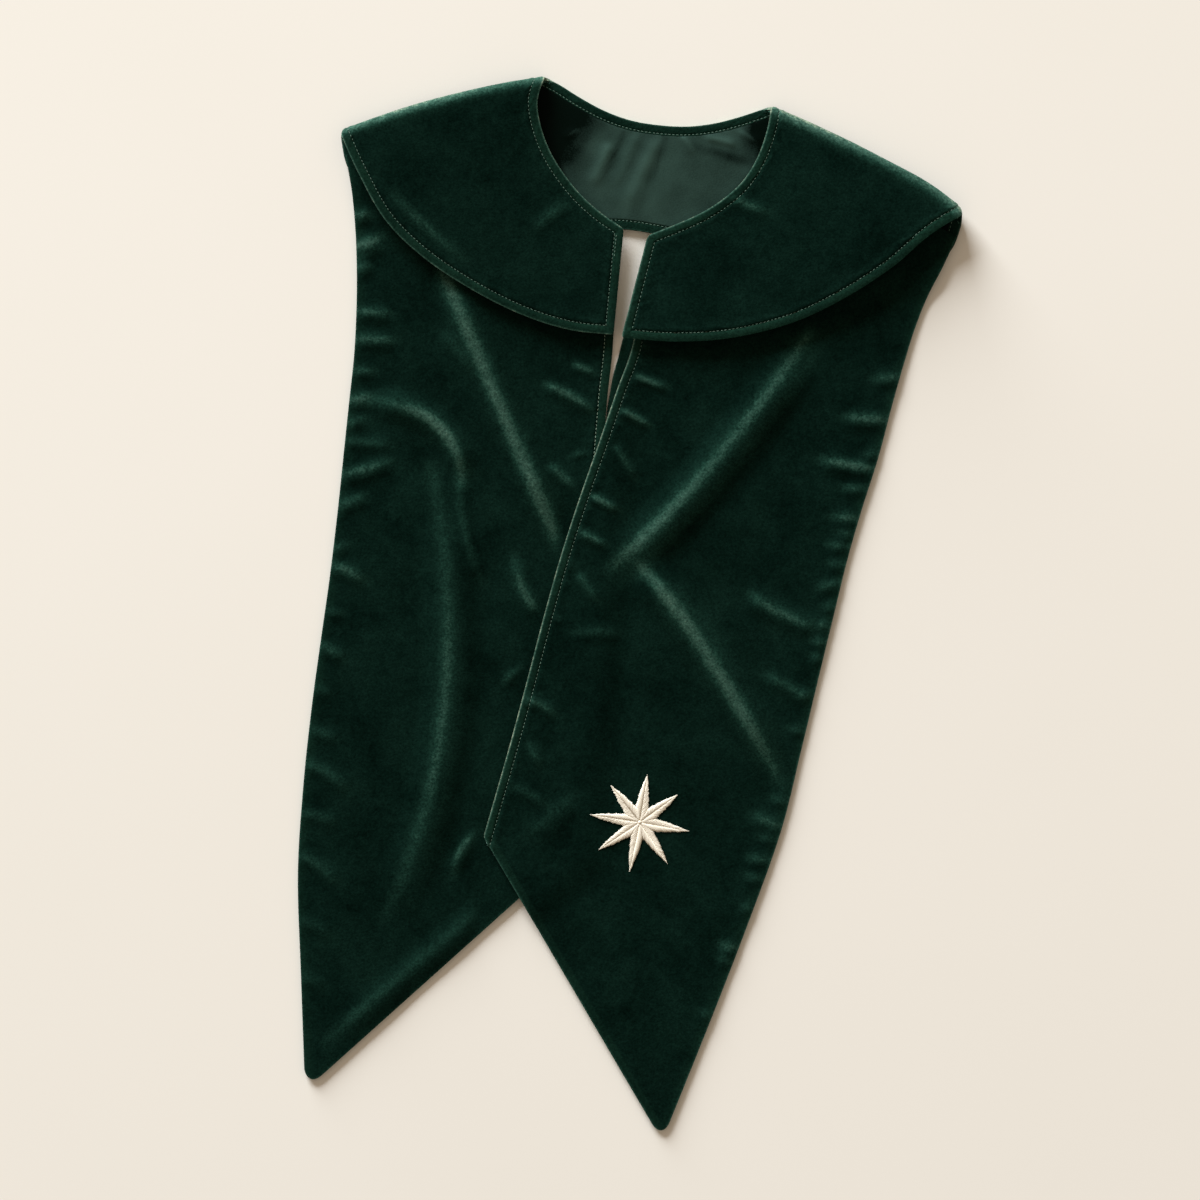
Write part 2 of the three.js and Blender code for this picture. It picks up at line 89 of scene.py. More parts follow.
# %% Cape sections: the neckline end (x, y, height) and the hem end of each
CAPE = {
    "left": [
        ((-59.5, 368.2, 13.6), (-203.4, 330.2, 13.0)),
        ((-64.4, 350.0, 13.2), (-190.0, 300.6, 12.6)),
        ((-62.3, 333.0, 12.2), (-171.0, 267.5, 11.6)),
        ((-56.0, 316.0, 11.2), (-144.5, 241.5, 10.8)),
        ((-47.0, 301.0, 10.4), (-111.0, 219.2, 10.2)),
        ((-35.0, 286.0, 9.8), (-76.0, 201.6, 9.6)),
        ((-20.5, 272.8, 9.4), (-42.5, 191.0, 9.4)),
        ((-4.4, 261.6, 9.0), (-11.5, 187.4, 9.0)),
    ],
    "right": [
        ((98.7, 347.6, 13.2), (235.6, 272.8, 17.0)),
        ((95.4, 330.0, 13.0), (208.0, 255.0, 16.4)),
        ((89.0, 311.5, 12.4), (182.5, 234.0, 15.2)),
        ((79.3, 295.6, 11.8), (150.0, 213.0, 13.8)),
        ((66.5, 283.4, 11.2), (113.5, 195.8, 12.6)),
        ((50.5, 273.0, 10.6), (72.0, 185.4, 11.6)),
        ((32.0, 264.6, 10.1), (33.0, 182.7, 10.6)),
        ((12.2, 256.9, 9.6), (-6.2, 185.3, 10.0)),
    ],
    "back": [
        ((-59.5, 368.2, 0), (-203.4, 330.2, 0)),
        ((-48.0, 361.8, 0), (-194.5, 300.0, 0)),
        ((-33.6, 352.8, 0), (-160.0, 275.0, 0)),
        ((-17.0, 344.0, 0), (-112.0, 262.6, 0)),
        ((1.0, 337.6, 0), (-60.0, 261.0, 0)),
        ((20.0, 334.4, 0), (-8.0, 261.8, 0)),
        ((39.5, 333.4, 0), (42.0, 253.4, 0)),
        ((58.0, 335.4, 0), (92.0, 242.6, 0)),
        ((75.0, 339.6, 0), (143.0, 237.6, 0)),
        ((88.5, 344.0, 0), (215.0, 239.5, 0)),
        ((98.7, 347.6, 0), (235.6, 272.8, 0)),
    ],
}
NECK, HEM = 0, 1
print("sections of the cape:", {side: len(table) for side, table in CAPE.items()})

# %% Panel stations from the shoulder down: inner edge, outer edge. The last is the slanted edge.
PANELS = {
    "left": [
        ((-70.0, 350.0), (-199.0, 313.5)),
        ((-67.0, 322.0), (-194.6, 288.0)),
        ((-54.0, 296.0), (-192.2, 262.0)),
        ((-32.0, 270.0), (-191.2, 235.0)),
        ((-13.0, 240.0), (-191.4, 206.0)),
        ((-11.0, 208.0), (-193.0, 174.0)),
        ((-12.3, 176.0), (-196.3, 143.0)),
        ((-15.6, 146.0), (-200.0, 108.0)),
        ((-18.6, 110.0), (-204.6, 64.0)),
        ((-22.0, 70.0), (-210.0, 19.0)),
        ((-25.5, 28.0), (-216.5, -27.0)),
        ((-29.0, -15.0), (-223.0, -75.0)),
        ((-32.3, -58.0), (-228.6, -128.0)),
        ((-35.3, -98.0), (-232.4, -190.0)),
        ((-38.0, -137.0), (-230.2, -262.0)),
        ((-40.0, -173.0), (-227.4, -341.0)),
    ],
    "right": [
        ((103.0, 328.0), (228.6, 256.0)),
        ((97.0, 306.0), (218.5, 234.5)),
        ((80.0, 285.0), (208.0, 214.0)),
        ((50.0, 264.0), (199.3, 192.0)),
        ((17.0, 240.0), (191.5, 167.0)),
        ((7.0, 208.0), (183.3, 138.0)),
        ((1.1, 177.5), (173.5, 101.0)),
        ((-9.5, 148.0), (162.5, 66.5)),
        ((-21.5, 113.0), (152.0, 30.0)),
        ((-35.5, 73.0), (142.2, -10.0)),
        ((-49.0, 31.0), (131.5, -54.0)),
        ((-61.0, -12.0), (119.8, -103.0)),
        ((-72.5, -56.0), (105.5, -160.0)),
        ((-83.5, -97.0), (82.3, -225.0)),
        ((-94.0, -134.0), (54.0, -298.0)),
        ((-102.5, -163.5), (22.4, -376.4)),
    ],
}
INNER, OUTER = 0, 1
print("stations of each panel:", {side: len(table) for side, table in PANELS.items()})

# %% [markdown]
# ## Folds and puckers
#
# Laid velvet keeps soft ridges where it was folded, and short puckers along its seams, because the
# thread is a little shorter than the cloth. Each ridge also carries painted light: a pale painted
# highlight along it and painted shade beside it, which is what the eye sees first. Each row of a
# table is one such ridge: a curve pulled towards a bend point, its half width and height, and how
# strong its painted light is.

# %% Ridges: from, bend, to, half width, height, strength of the painted highlight and shade
RIDGES = {
    "left": [
        ((-130, 233), (-98, 157), (-47, 39), 21, 4.6, (0.55, 0.72, 0.8, 0.72, 0.75, 0.8, 0.8, 0.5)),
        ((-190, 141), (-120, 138), (-115, 84), 15, 3.4, (0.15, 0.3, 0.9, 1.1, 0.6, 0.35)),
        ((-137, 97), (-100, -82), (-170, -228), 24, 4.2,
         (0.2, 0.2, 0.28, 0.4, 0.42, 0.4, 0.3, 0.25, 0.05)),
        ((-89, -205), (-146, -251), (-211, -308), 14, 2.2, (0.25, 0.2, 0.2, 0.25, 0.3, 0.15)),
        ((-80, 34), (-78, 2), (-58, -9), 12, 1.6, (0.15, 0.45, 0.6, 0.4)),
        ((-120, 96), (-119, 50), (-101, 10), 10, 1.2, 0.32),
        ((-100, -160), (-121, -168), (-123, -192), 9, 1.5, 0.72),
        ((-111, -184), (-100, -186), (-88, -197), 9, 1.1, 0.35),
        ((-60, 153), (-42, 146), (-23, 133), 8, 1.5, 0.75),
        ((-40, 167), (-32, 164), (-22, 159), 6, 1.2, 0.6),
        ((-57, 97), (-46, 88), (-34, 76), 7, 1.4, 0.55),
        ((-41, 103), (-33, 104), (-25, 106), 5, 0.8, 0.4),
        ((-90, -57), (-80, -50), (-70, -42), 7, 1.1, 0.4),
        ((-132, 190), (-118, 178), (-110, 160), 11, 0.9, 0.22),
    ],
    "right": [
        ((129, 186), (60, 83), (-13, 19), 23, 6.0, (0.4, 0.5, 0.5, 0.45, 0.55, 0.7, 0.75, 0.25)),
        ((6, 27), (42, -6), (108, -127), 21, 5.0, (0.35, 0.8, 0.85, 0.75, 0.75, 0.65, 0.2)),
        ((82, 7), (103, -10), (136, -20), 13, 2.0, 0.6),
        ((94, -50), (110, -58), (126, -70), 10, 1.3, 0.42),
        ((3, 159), (14, 154), (27, 150), 6, 1.5, 0.7),
        ((-7, 135), (4, 130), (15, 123), 6, 1.6, 0.75),
        ((-10, 111), (-4, 100), (5, 86), 6, 1.0, 0.4),
        ((-27, 75), (-18, 70), (-7, 64), 6, 1.6, 0.75),
        ((-35, 49), (-26, 45), (-15, 39), 6, 1.6, 0.6),
        ((-37, 21), (-30, 13), (-22, 0), 6, 1.2, 0.4),
        ((-41, -22), (-22, -20), (-4, -22), 9, 0.8, 0.25),
        ((-75, -67), (-62, -70), (-50, -80), 8, 1.3, 0.5),
        ((-71, -96), (-66, -106), (-61, -117), 9, 1.0, 0.3),
        ((-83, -128), (-70, -133), (-57, -143), 8, 0.9, 0.25),
        ((-36, -136), (-54, -148), (-71, -168), 14, 1.0, 0.25),
    ],
    "cape": [
        ((-42, 278), (-56, 272), (-70, 258), 8, 0.7, 0.35),
        ((70, 284), (84, 276), (98, 272), 8, 0.9, 0.5),
        ((-166, 286), (-143, 262), (-112, 236), 12, 0.6, 0.4),
    ],
}
RIDGE_STEPS = 24  # straight pieces that stand for a ridge's curve
RIDGE_TAPER = 0.22  # share of a long ridge's length over which each end rises
TUCK = 14.0  # the left panel's ridges die out over this as they go under the right one
print("ridges:", {name: len(rows) for name, rows in RIDGES.items()})

# %% Puckers at the panels' outer edges: y of the start, rise of the far end, length, strength of the painted highlight, which also sizes the pucker
EDGE_PUCKERS = {
    "left": [
        (270, 1, 16, 0.6), (247, 8, 22, 1.0), (234, 2, 16, 0.65), (203, -2, 28, 0.55),
        (183.5, -1, 32, 0.6), (162, -2, 20, 0.4), (140, 4, 20, 0.6), (124, 6, 18, 0.45),
        (113, -4, 36, 0.35), (88, 12, 40, 0.6), (66, 10, 24, 0.5), (36, 5, 14, 0.4),
        (27, -14, 28, 0.7), (-6, -3, 18, 0.3), (-30, -11, 22, 0.45), (-60, -6, 16, 0.15),
        (-89, -8, 24, 0.3), (-112, -20, 34, 0.42), (-147, -8, 28, 0.3), (-176, -22, 32, 0.45),
        (-222, -12, 26, 0.2), (-262, -8, 20, 0.15),
    ],
    "right": [
        (157, -2, 22, 0.55), (127, 2, 34, 0.75), (104, -1, 14, 0.3), (93, 7, 42, 0.78),
        (79, 1, 22, 0.42), (58, 2, 22, 0.6), (48, 1, 16, 0.4), (39, 1, 20, 0.42),
        (26, 1, 16, 0.35), (14, -6, 22, 0.4), (-4, 2, 12, 0.3), (-17, 3, 14, 0.35),
        (-29, 3, 14, 0.45), (-40, 3, 12, 0.4), (-66, 3, 14, 0.3), (-90, 2, 16, 0.35),
        (-140, 4, 16, 0.35), (-158, 11, 24, 0.6), (-166, 2, 16, 0.3), (-181, 3, 20, 0.5),
        (-194, 4, 16, 0.4), (-215, 3, 12, 0.3), (-243, 4, 16, 0.65), (-252, 4, 14, 0.4),
        (-290, 4, 12, 0.25),
    ],
}
PUCKER_HALF_WIDTH = 7.5  # grows with the pucker's painted highlight strength, as its height does
PUCKER_HEIGHT = 1.5
PUCKER_BEND = 0.25  # share of its rise that a pucker has made at its bend point
PUCKER_START = 2.0  # millimetres outside the edge
print("edge puckers:", {name: len(rows) for name, rows in EDGE_PUCKERS.items()})

# %% Rounded corners: where the edges would meet, their headings away from it, and the radius
SHOULDER_CORNERS = [
    ((-203.4, 330.2), (21.0, -73.6), 6.0),
    ((235.6, 272.8), (139.0, 246.0), 14.0),
]
NECK_CORNERS = [
    ((-59.5, 368.2), (188.2, -29.1), 10.0),
    ((98.7, 347.6), (-22.8, 199.4), 10.0),
]
FRONT_CORNERS = [
    ((-4.4, 261.6), (144.0, 264.5), 4.0),
    ((12.2, 256.9), (22.0, 255.6), 7.0),
    ((-11.5, 187.4), (84.5, 173.0), 2.2),
    ((-6.2, 185.3), (75.6, -4.0), 2.2),
]
PANEL_CORNERS = {
    "left": [((-227.4, -341.0), (87.5, 41.9), 7.0)],
    "right": [((22.4, -376.4), (68.0, 120.4), 7.0), ((-102.5, -163.5), (73.9, -59.6), 4.0)],
}
SQUEEZE_END = 1.3  # how far past an arc its squeeze goes on, as a share of the corner's reach
print("radii at the panels' points:", [PANEL_CORNERS[side][0][2] for side in PANELS], "mm")

# %% [markdown]
# ## From tables to surfaces
#
# Four small helpers turn a table into cloth: a smooth curve through a column of points, the
# distance to a line, the easing that lets one height run into another, and the rounding of a
# corner. Corners are rounded by squeezing the cloth towards them, so that no face is folded over.

# %% Mixing, easing and directions
def mix(low, high, share):
    """The value that lies a share of the way from low to high."""
    return low + (high - low) * share


def ease(value):
    """A soft step from 0 to 1 that starts and ends level."""
    held = np.clip(value, 0, 1)
    return held * held * (3 - 2 * held)


def unit(vectors):
    return vectors / np.linalg.norm(vectors, axis=-1, keepdims=True)


def cross2(a, b):
    """How far b turns to the left of a, in the plane."""
    return a[..., 0] * b[..., 1] - a[..., 1] * b[..., 0]


print("easing at 0, 1/4, 1/2, 3/4 and 1:", [float(ease(quarter / 4)) for quarter in range(5)])


# %% A smooth curve through a table's points
def rail(table, column):
    """A smooth curve through one column of a table, read at 0 to 1."""
    points = np.array([row[column] for row in table], float)
    ends = np.vstack([2 * points[0] - points[1], points, 2 * points[-1] - points[-2]])

    def at(share):
        place = np.clip(share, 0, 1) * (len(points) - 1)
        k = np.clip(np.floor(place).astype(int), 0, len(points) - 2)
        t = (place - k)[..., None]
        p0, p1, p2, p3 = (ends[k + step] for step in range(4))
        bend = 2 * p0 - 5 * p1 + 4 * p2 - p3
        twist = 3 * p1 - p0 - 3 * p2 + p3
        return 0.5 * (2 * p1 + (p2 - p0) * t + bend * t**2 + twist * t**3)

    return at


print("middle of the back's neckline:", rail(CAPE["back"], NECK)(np.array(0.5)).round(1))


# %% Distance to a line
def nearest_on(line, xy):
    """Signed distance from places to a line of points, the share along it, and its heading."""
    best = np.full(xy.shape[:-1], np.inf)
    signed, share = np.zeros_like(best), np.zeros_like(best)
    heading = np.zeros(xy.shape)
    pieces = len(line) - 1
    for k in range(pieces):
        span = line[k + 1] - line[k]
        reach = xy - line[k]
        at = np.clip((reach @ span) / (span @ span), 0, 1)
        distance = np.linalg.norm(reach - at[..., None] * span, axis=-1)
        nearer = distance < best
        best = np.where(nearer, distance, best)
        signed = np.where(nearer, distance * np.sign(cross2(span, reach)), signed)
        share = np.where(nearer, (k + at) / pieces, share)
        heading = np.where(nearer[..., None], span / np.linalg.norm(span), heading)
    return signed, share, heading


def column_x(table, column, y):
    """The x of a table's column at a given y, straight between its rows."""
    points = np.array([row[column] for row in table], float)
    return np.interp(-np.asarray(y), -points[:, 1], points[:, 0])


for panel, stations in PANELS.items():
    print(panel, "panel's outer edge at y = 0:", column_x(stations, OUTER, 0).round(1))


# %% Rounding a corner
def round_corners(xy, corners):
    """Squeezes the cloth in each sharp corner until its outline is an arc."""
    out = xy.copy()
    for at, headings, radius in corners:
        first, second = ([math.cos(math.radians(h)), math.sin(math.radians(h))] for h in headings)
        half = math.acos(np.dot(first, second)) / 2
        reach = radius / math.tan(half)
        span = np.array([first, second]).T
        u, v = np.moveaxis(1 - (xy - at) @ np.linalg.inv(span).T / reach, -1, 0)
        inside = (u > 0) & (v > 0) & (u < SQUEEZE_END) & (v < SQUEEZE_END)
        u, v = np.clip(u, 0, SQUEEZE_END), np.clip(v, 0, SQUEEZE_END)
        squeezed = np.stack([u * np.sqrt(1 - v * v / 2), v * np.sqrt(1 - u * u / 2)], -1)
        moved = np.array(at) + (1 - squeezed) * reach @ span.T
        out = np.where(inside[..., None], moved, out)
    return out


left_point = PANEL_CORNERS["left"][0][0]
left_pulled = round_corners(np.array([left_point]), PANEL_CORNERS["left"])[0] - left_point
print("the left panel's point is pulled in by", np.linalg.norm(left_pulled).round(2), "mm")

# %% [markdown]
# ## Heights of the cloths
#
# The cape's back lies on the table and its front is folded over it in a soft loop at each shoulder.
# The panels lie over the back, come down past its hem, and cross. Each height is a plain function
# of place, the same as in the solids, so that nothing cuts into anything else.

# %% The cape's face
CAPE_RAILS = {side: (rail(table, NECK), rail(table, HEM)) for side, table in CAPE.items()}


def cape_face(side, share, down):
    """Points on the cape's outer face, at a share along a side and a share down from the neck."""
    neck, hem = (curve(share) for curve in CAPE_RAILS[side])
    point = mix(neck, hem, down[..., None])
    for name in ["left", "right"] if side == "back" else [side]:
        fold = FOLDS[name]
        start = np.array(fold["neck"])
        along = np.array(fold["tip"]) - start
        length = np.linalg.norm(along)
        along = along / length
        inward = np.array([along[1], -along[0]])
        inward = -inward if inward[1] > 0 else inward
        reach = point[..., :2] - start
        depth = np.maximum(0, reach @ inward)
        radius = mix(fold["neck_radius"], fold["tip_radius"], down)
        round_part = np.sqrt(radius**2 - np.maximum(0, radius - depth) ** 2)
        if side == "back":
            point[..., 2] += radius - round_part
        else:
            point[..., 2] = radius + (point[..., 2] - radius) * round_part / radius
        at = np.clip(reach @ along / length, 0, 1)
        part = np.where(at < fold["bow_at"], at / fold["bow_at"], (1 - at) / (1 - fold["bow_at"]))
        shift = fold["bow"] * part * (2 - part) * (1 - ease(depth / BOW_REACH))
        point[..., :2] -= inward * shift[..., None]
    corners = SHOULDER_CORNERS + NECK_CORNERS + (FRONT_CORNERS if side != "back" else [])
    point[..., :2] = round_corners(point[..., :2], corners)
    return point


front_middle = cape_face("left", np.array([0.5]), np.array([0.5]))[0]
print("middle of the left front:", front_middle.round(1), "mm")

# %% The panels' undersides, without their ridges
BACK_HEM = np.array([row[HEM][:2] for row in CAPE["back"]], float)


def over_back(xy):
    """Height of the cape's back and lining under a panel, coming down past the back's hem."""
    signed, _, _ = nearest_on(BACK_HEM, xy)
    past = BACK_HEIGHT * ease(1 - (-signed - DROP_START) / DROP)
    return np.where(signed < 0, past, BACK_HEIGHT)


def past_left_panel(xy):
    """How far a place lies outside the left panel's inner edge or its slanted lower edge."""
    corner, tip = (np.array(PANELS["left"][-1][edge]) for edge in (INNER, OUTER))
    past_slant = cross2(xy - tip, unit(corner - tip))
    past_inner = xy[..., 0] - column_x(PANELS["left"], INNER, np.maximum(xy[..., 1], corner[1]))
    return np.maximum(past_slant, past_inner)


def underside(panel, xy):
    if panel == "left":
        return over_back(xy)
    ride = (PANEL_WALL + PANEL_GAP) * ease(1 - (past_left_panel(xy) - RIDE_START) / RIDE_DROP)
    return np.maximum(ride, over_back(xy))


for y in (230, 100, -150):
    crossing = np.array([[-30.0, y]])
    print(f"underside of the right panel at y = {y}:", underside("right", crossing).round(2), "mm")


# %% Height of a ridge
def curve_points(start, bend, end, count):
    """Points along a curve that is pulled towards a bend point."""
    t = np.linspace(0, 1, count)[:, None]
    start, bend, end = (np.array(p, float) for p in (start, bend, end))
    return (1 - t) ** 2 * start + 2 * t * (1 - t) * bend + t**2 * end


def ridge_rise(xy, start, bend, end, half_width, height):
    line = curve_points(start, bend, end, RIDGE_STEPS + 1)
    distance, share, _ = nearest_on(line, xy)
    length = np.linalg.norm(np.diff(line, axis=0), axis=-1).sum()
    taper = np.clip(half_width / length, RIDGE_TAPER, 0.5)
    ends = ease(np.minimum(share, 1 - share) / taper)
    off = abs(distance) / half_width
    return height * ends * np.where(off < 1, (1 + np.cos(np.pi * off)) / 2, 0)


*first_ridge, _ = RIDGES["left"][0]
ridge_middle = curve_points(*first_ridge[:3], 3)[1:2]
print("middle of the first ridge:", ridge_rise(ridge_middle, *first_ridge)[0].round(2), "mm high")

# %% [markdown]
# ## Painted highlight and shade on the pile
#
# A velvet fold is not shaded like paper. A narrow pale core runs along it, a wide soft halo spreads
# to one side, and the other side goes almost black. Light alone would not do this on a modelled
# surface, so the sheets carry the three as painted light, painted highlight for the core and halo
# and painted shade for the dark side, which the material turns into colour.

# %% A ridge's painted light: pale core and halo as painted highlight, dark valley as painted shade
LIT_SIDE = unit(np.array([-1.0, 1.0]))  # the side towards the window: painted highlights lean to it, painted shade lies away from it
CORE = (1.6, 0.13)  # the palest core's width: millimetres, and a share of the half width
CORE_SHIFT = 0.2  # towards the lit side; shifts and the other widths are shares of the half width
# The halo is painted highlight shifted away from the lit side; the valley is painted shade further
# out on that side.
HALO = 0.34
HALO_SHIFT = -0.3
HALO_WIDTH = 0.5
VALLEY = 0.45
VALLEY_SHIFT = -0.9
VALLEY_WIDTH = 0.36
STROKE = (0.35, 0.8, 0.65, 0.2)  # how a short stroke swells and fades along its length
SPOT_OVERLAP = 0.8  # a stroke's spots lie this share of the core's width apart
FEWEST_SPOTS = 6


def soft_stroke(xy, line, weights, shift, width):
    """A soft band along a line: overlapping round spots, shifted towards or away from the lit side.
    """
    heading = unit(np.gradient(line, axis=0))
    across = np.stack([-heading[:, 1], heading[:, 0]], -1)
    facing = across @ LIT_SIDE
    centres = line + across * (facing * shift)[:, None]
    spacing = np.linalg.norm(np.gradient(line, axis=0), axis=-1)
    total = np.zeros(xy.shape[:-1])
    for centre, weight, gap in zip(centres, weights, spacing):
        apart = np.sum((xy - centre) ** 2, axis=-1)
        total += weight * gap / (width * math.sqrt(math.pi)) * np.exp(-apart / width**2)
    return total, abs(facing).mean()


def ridge_painted_light(xy, start, bend, end, half_width, brushed):
    """Painted highlight of a ridge, its pale core and halo, less the painted shade of its far side.
    """
    core = CORE[0] + CORE[1] * half_width
    rough = curve_points(start, bend, end, 9)
    length = np.linalg.norm(np.diff(rough, axis=0), axis=-1).sum()
    spots = max(FEWEST_SPOTS, int(length / core / SPOT_OVERLAP))
    line = curve_points(start, bend, end, spots)
    if not isinstance(brushed, tuple):
        brushed = [brushed * part for part in STROKE]
    profile = np.array(brushed)
    weights = np.interp(np.linspace(0, 1, len(line)), np.linspace(0, 1, len(profile)), profile)

    def band(shift, width):
        return soft_stroke(xy, line, weights, shift * half_width, width)

    pale, _ = band(CORE_SHIFT, core)
    halo, _ = band(HALO_SHIFT, HALO_WIDTH * half_width)
    valley, facing = band(VALLEY_SHIFT, VALLEY_WIDTH * half_width)
    return pale + HALO * halo - VALLEY * facing * valley


print("pale core of the widest ridge:", round(2 * (CORE[0] + CORE[1] * 24), 1), "mm across")


# %% All ridges of a piece together
def ridges_over(rows, xy):
    """Height and painted light that a table of ridges gives to places."""
    rise, brushed = np.zeros(xy.shape[:-1]), np.zeros(xy.shape[:-1])
    for *place, half_width, height, light_strength in rows:
        rise += ridge_rise(xy, *place, half_width, height)
        # painted highlight and painted shade of each ridge
        brushed += ridge_painted_light(xy, *place, half_width, light_strength)
    return rise, brushed


def edge_pucker_rows(panel):
    """Each edge pucker as a ridge that starts at the panel's outer edge and runs inwards."""
    inward = 1 if panel == "left" else -1
    rows = []
    for y, lift, length, brushed in EDGE_PUCKERS[panel]:
        start = (float(column_x(PANELS[panel], OUTER, y)) - PUCKER_START * inward, y)
        end = (start[0] + inward * length, y + lift)
        bend = ((start[0] + end[0]) / 2, y + lift * PUCKER_BEND)
        half_width = PUCKER_HALF_WIDTH * (0.8 + brushed)
        rows.append((start, bend, end, half_width, PUCKER_HEIGHT * (0.4 + brushed), brushed))
    return rows


ALL_RIDGES = {panel: RIDGES[panel] + edge_pucker_rows(panel) for panel in PANELS}
print("ridges on each panel:", {panel: len(rows) for panel, rows in ALL_RIDGES.items()})

# %% [markdown]
# ## Stitched edges and slack
#
# Every stitched edge is bagged out and topstitched 6 mm in. The thread sinks a groove, the band
# beside it stays puffy, and the cloth beyond it is drawn up in tiny puckers. Between the seams laid
# velvet is never dead flat, so a slow swell runs through it.

# %% Height across a stitched edge, in millimetres
SEAM_WAVES = [  # length, phase, size
    (5.3, 0.0, 0.3), (7.9, 1.3, 0.3), (12.1, 2.1, 0.25), (19.7, 4.0, 0.15),
]
GROOVE_DEPTH, GROOVE_WIDTH = 0.36, 0.5
PUFF_HEIGHT, PUFF_FULLNESS = 0.38, 0.7
PUFF_END = BAND - 0.4
SHOULDER_HEIGHT, SHOULDER_AT, SHOULDER_WIDTH = 0.3, 8.4, 1.7  # the rise just past the groove
DRAWN_HEIGHT, DRAWN_REACH = 0.34, 6


def bump_at(inside, at, width):
    """A soft bump of height 1 at a distance inside an edge."""
    return np.exp(-(((inside - at) / width) ** 2))


def seam_waves(run):
    """Irregular little waves along a seam, from -1 to 1."""
    return sum(
        size * np.sin(2 * np.pi * run / length + phase) for length, phase, size in SEAM_WAVES
    )


def seam_profile(inside, run):
    """Height of a stitched edge at a distance inside the edge, for a place along its run."""
    groove = -GROOVE_DEPTH * bump_at(inside, BAND, GROOVE_WIDTH)
    puff = np.maximum(0, np.sin(np.pi * np.clip(inside / PUFF_END, 0, 1))) ** PUFF_FULLNESS
    shoulder = SHOULDER_HEIGHT * bump_at(inside, SHOULDER_AT, SHOULDER_WIDTH)
    drawn = DRAWN_HEIGHT * np.exp(-np.maximum(0, inside - BAND) / DRAWN_REACH)
    drawn = drawn * np.clip(inside / BAND, 0, 1)
    return groove + PUFF_HEIGHT * puff + shoulder + drawn * seam_waves(run)


for inside in (3.0, BAND, 8.4):
    print(f"{inside} mm inside an edge:", round(float(seam_profile(inside, 0.0)), 2), "mm high")

# %% Painted highlights along an edge, and slow swells
# painted highlights beside a seam's puckers
FLECK_STRENGTH, FLECK_AT, FLECK_WIDTH = 0.16, 8.6, 3.0
FLECK_STRETCH = 1.7  # flecks are this much longer than the waves that they lie on
FLECK_START = 2  # keeps them out of step with the waves
# width of the painted highlight along an edge's rim
RIM_WIDTH = 0.75
SLOW_SWELLS = [  # length, heading, phase
    (62, 20, 0.3), (88, 75, 1.9), (47, 130, 4.1), (121, 160, 2.6),
]
SWELL_TURN = 11  # degrees that the swells turn from one cloth to another


def seam_painted_light(inside, run, rim):
    """Painted highlights: pale flecks beside a seam's puckers, and a pale line along its very edge.
    """
    flecks = np.clip(seam_waves(run / FLECK_STRETCH + FLECK_START), 0, 1)
    flecks = flecks * bump_at(inside, FLECK_AT, FLECK_WIDTH)
    return FLECK_STRENGTH * flecks + rim * bump_at(inside, 0, RIM_WIDTH)


def swell(xy, phase):
    """Slow unevenness of laid cloth, from 0 to 1."""
    x, y = xy[..., 0], xy[..., 1]
    total = 0
    for length, angle, offset in SLOW_SWELLS:
        turn = math.radians(angle + SWELL_TURN * phase)
        travelled = x * math.cos(turn) + y * math.sin(turn)
        total = total + np.sin(2 * np.pi * travelled / length + offset + phase)
    return (total / len(SLOW_SWELLS) + 1) / 2


print("swell at the origin:", round(float(swell(np.zeros(2), 0.4)), 2))


# %% [markdown]
# ## Laying out a sheet
#
# A sheet could be sculpted or simulated, but a laid, stiffened velvet is best placed by rule: a
# grid primitive gives the topology, and each of its points goes to its place on the cloth. Lines of
# the grid run parallel to the edges and crowd at the stitches, so that the groove stays crisp.
# Solidify then gives the wall, and Bevel rolls the rim.

# %% Where grid lines lie beside an edge, in millimetres inside it
EDGE_LINES = np.array(
    [0, 1.3, 2.1, 3.0, 3.9, 4.7, 5.3, 5.7, 6.0, 6.3, 6.7, 7.4, 8.4, 9.8, 11.6, 14.0]
)
STITCH_LINE = int(np.where(EDGE_LINES == BAND)[0][0])
TINY = 1e-4  # a share that is small enough to read a curve's heading from
LEAST_SLANT = 0.6  # sections never count as more slanted to their edge than this
print("grid line that carries the stitches:", STITCH_LINE)


def across_shares(start_scale, end_scale, inner_lines):
    """Shares across a section: parallel lines at both edges, even ones between."""
    low = EDGE_LINES * start_scale[..., None]
    high = 1 - EDGE_LINES[::-1] * end_scale[..., None]
    between = np.linspace(0, 1, inner_lines + 2)[1:-1]
    middle = mix(low[..., -1:], high[..., :1], between)
    return np.concatenate([low, middle, high], -1)


def millimetre_shares(curves, share):
    """For sections between two edge curves: a millimetre inside each edge, as a share of them."""
    start, end = (curve(share)[..., :2] for curve in curves)
    length = np.linalg.norm(end - start, axis=-1)
    found = []
    for curve in curves:
        edge = unit(curve(share + TINY)[..., :2] - curve(share - TINY)[..., :2])
        slant = np.clip(abs(cross2(edge, unit(end - start))), LEAST_SLANT, 1)
        found.append(1 / (length * slant))
    return found


def grid_normals(points):
    """Upward directions of a grid's surface."""
    along = np.gradient(points, axis=0)
    across = np.gradient(points, axis=1)
    return unit(np.cross(along, across))


def run_along(points, axis):
    """Distance travelled along a grid of points, in the direction of its rows or columns."""
    steps = np.linalg.norm(np.diff(points, axis=axis), axis=-1)
    pad = [(0, 0), (0, 0)]
    pad[axis] = (1, 0)
    return np.pad(np.cumsum(steps, axis=axis), pad)


# %% From a grid of points to a closed sheet
RIM_SEGMENTS = 3
RIM_ANGLE = math.radians(55)  # edges sharper than this are rolled


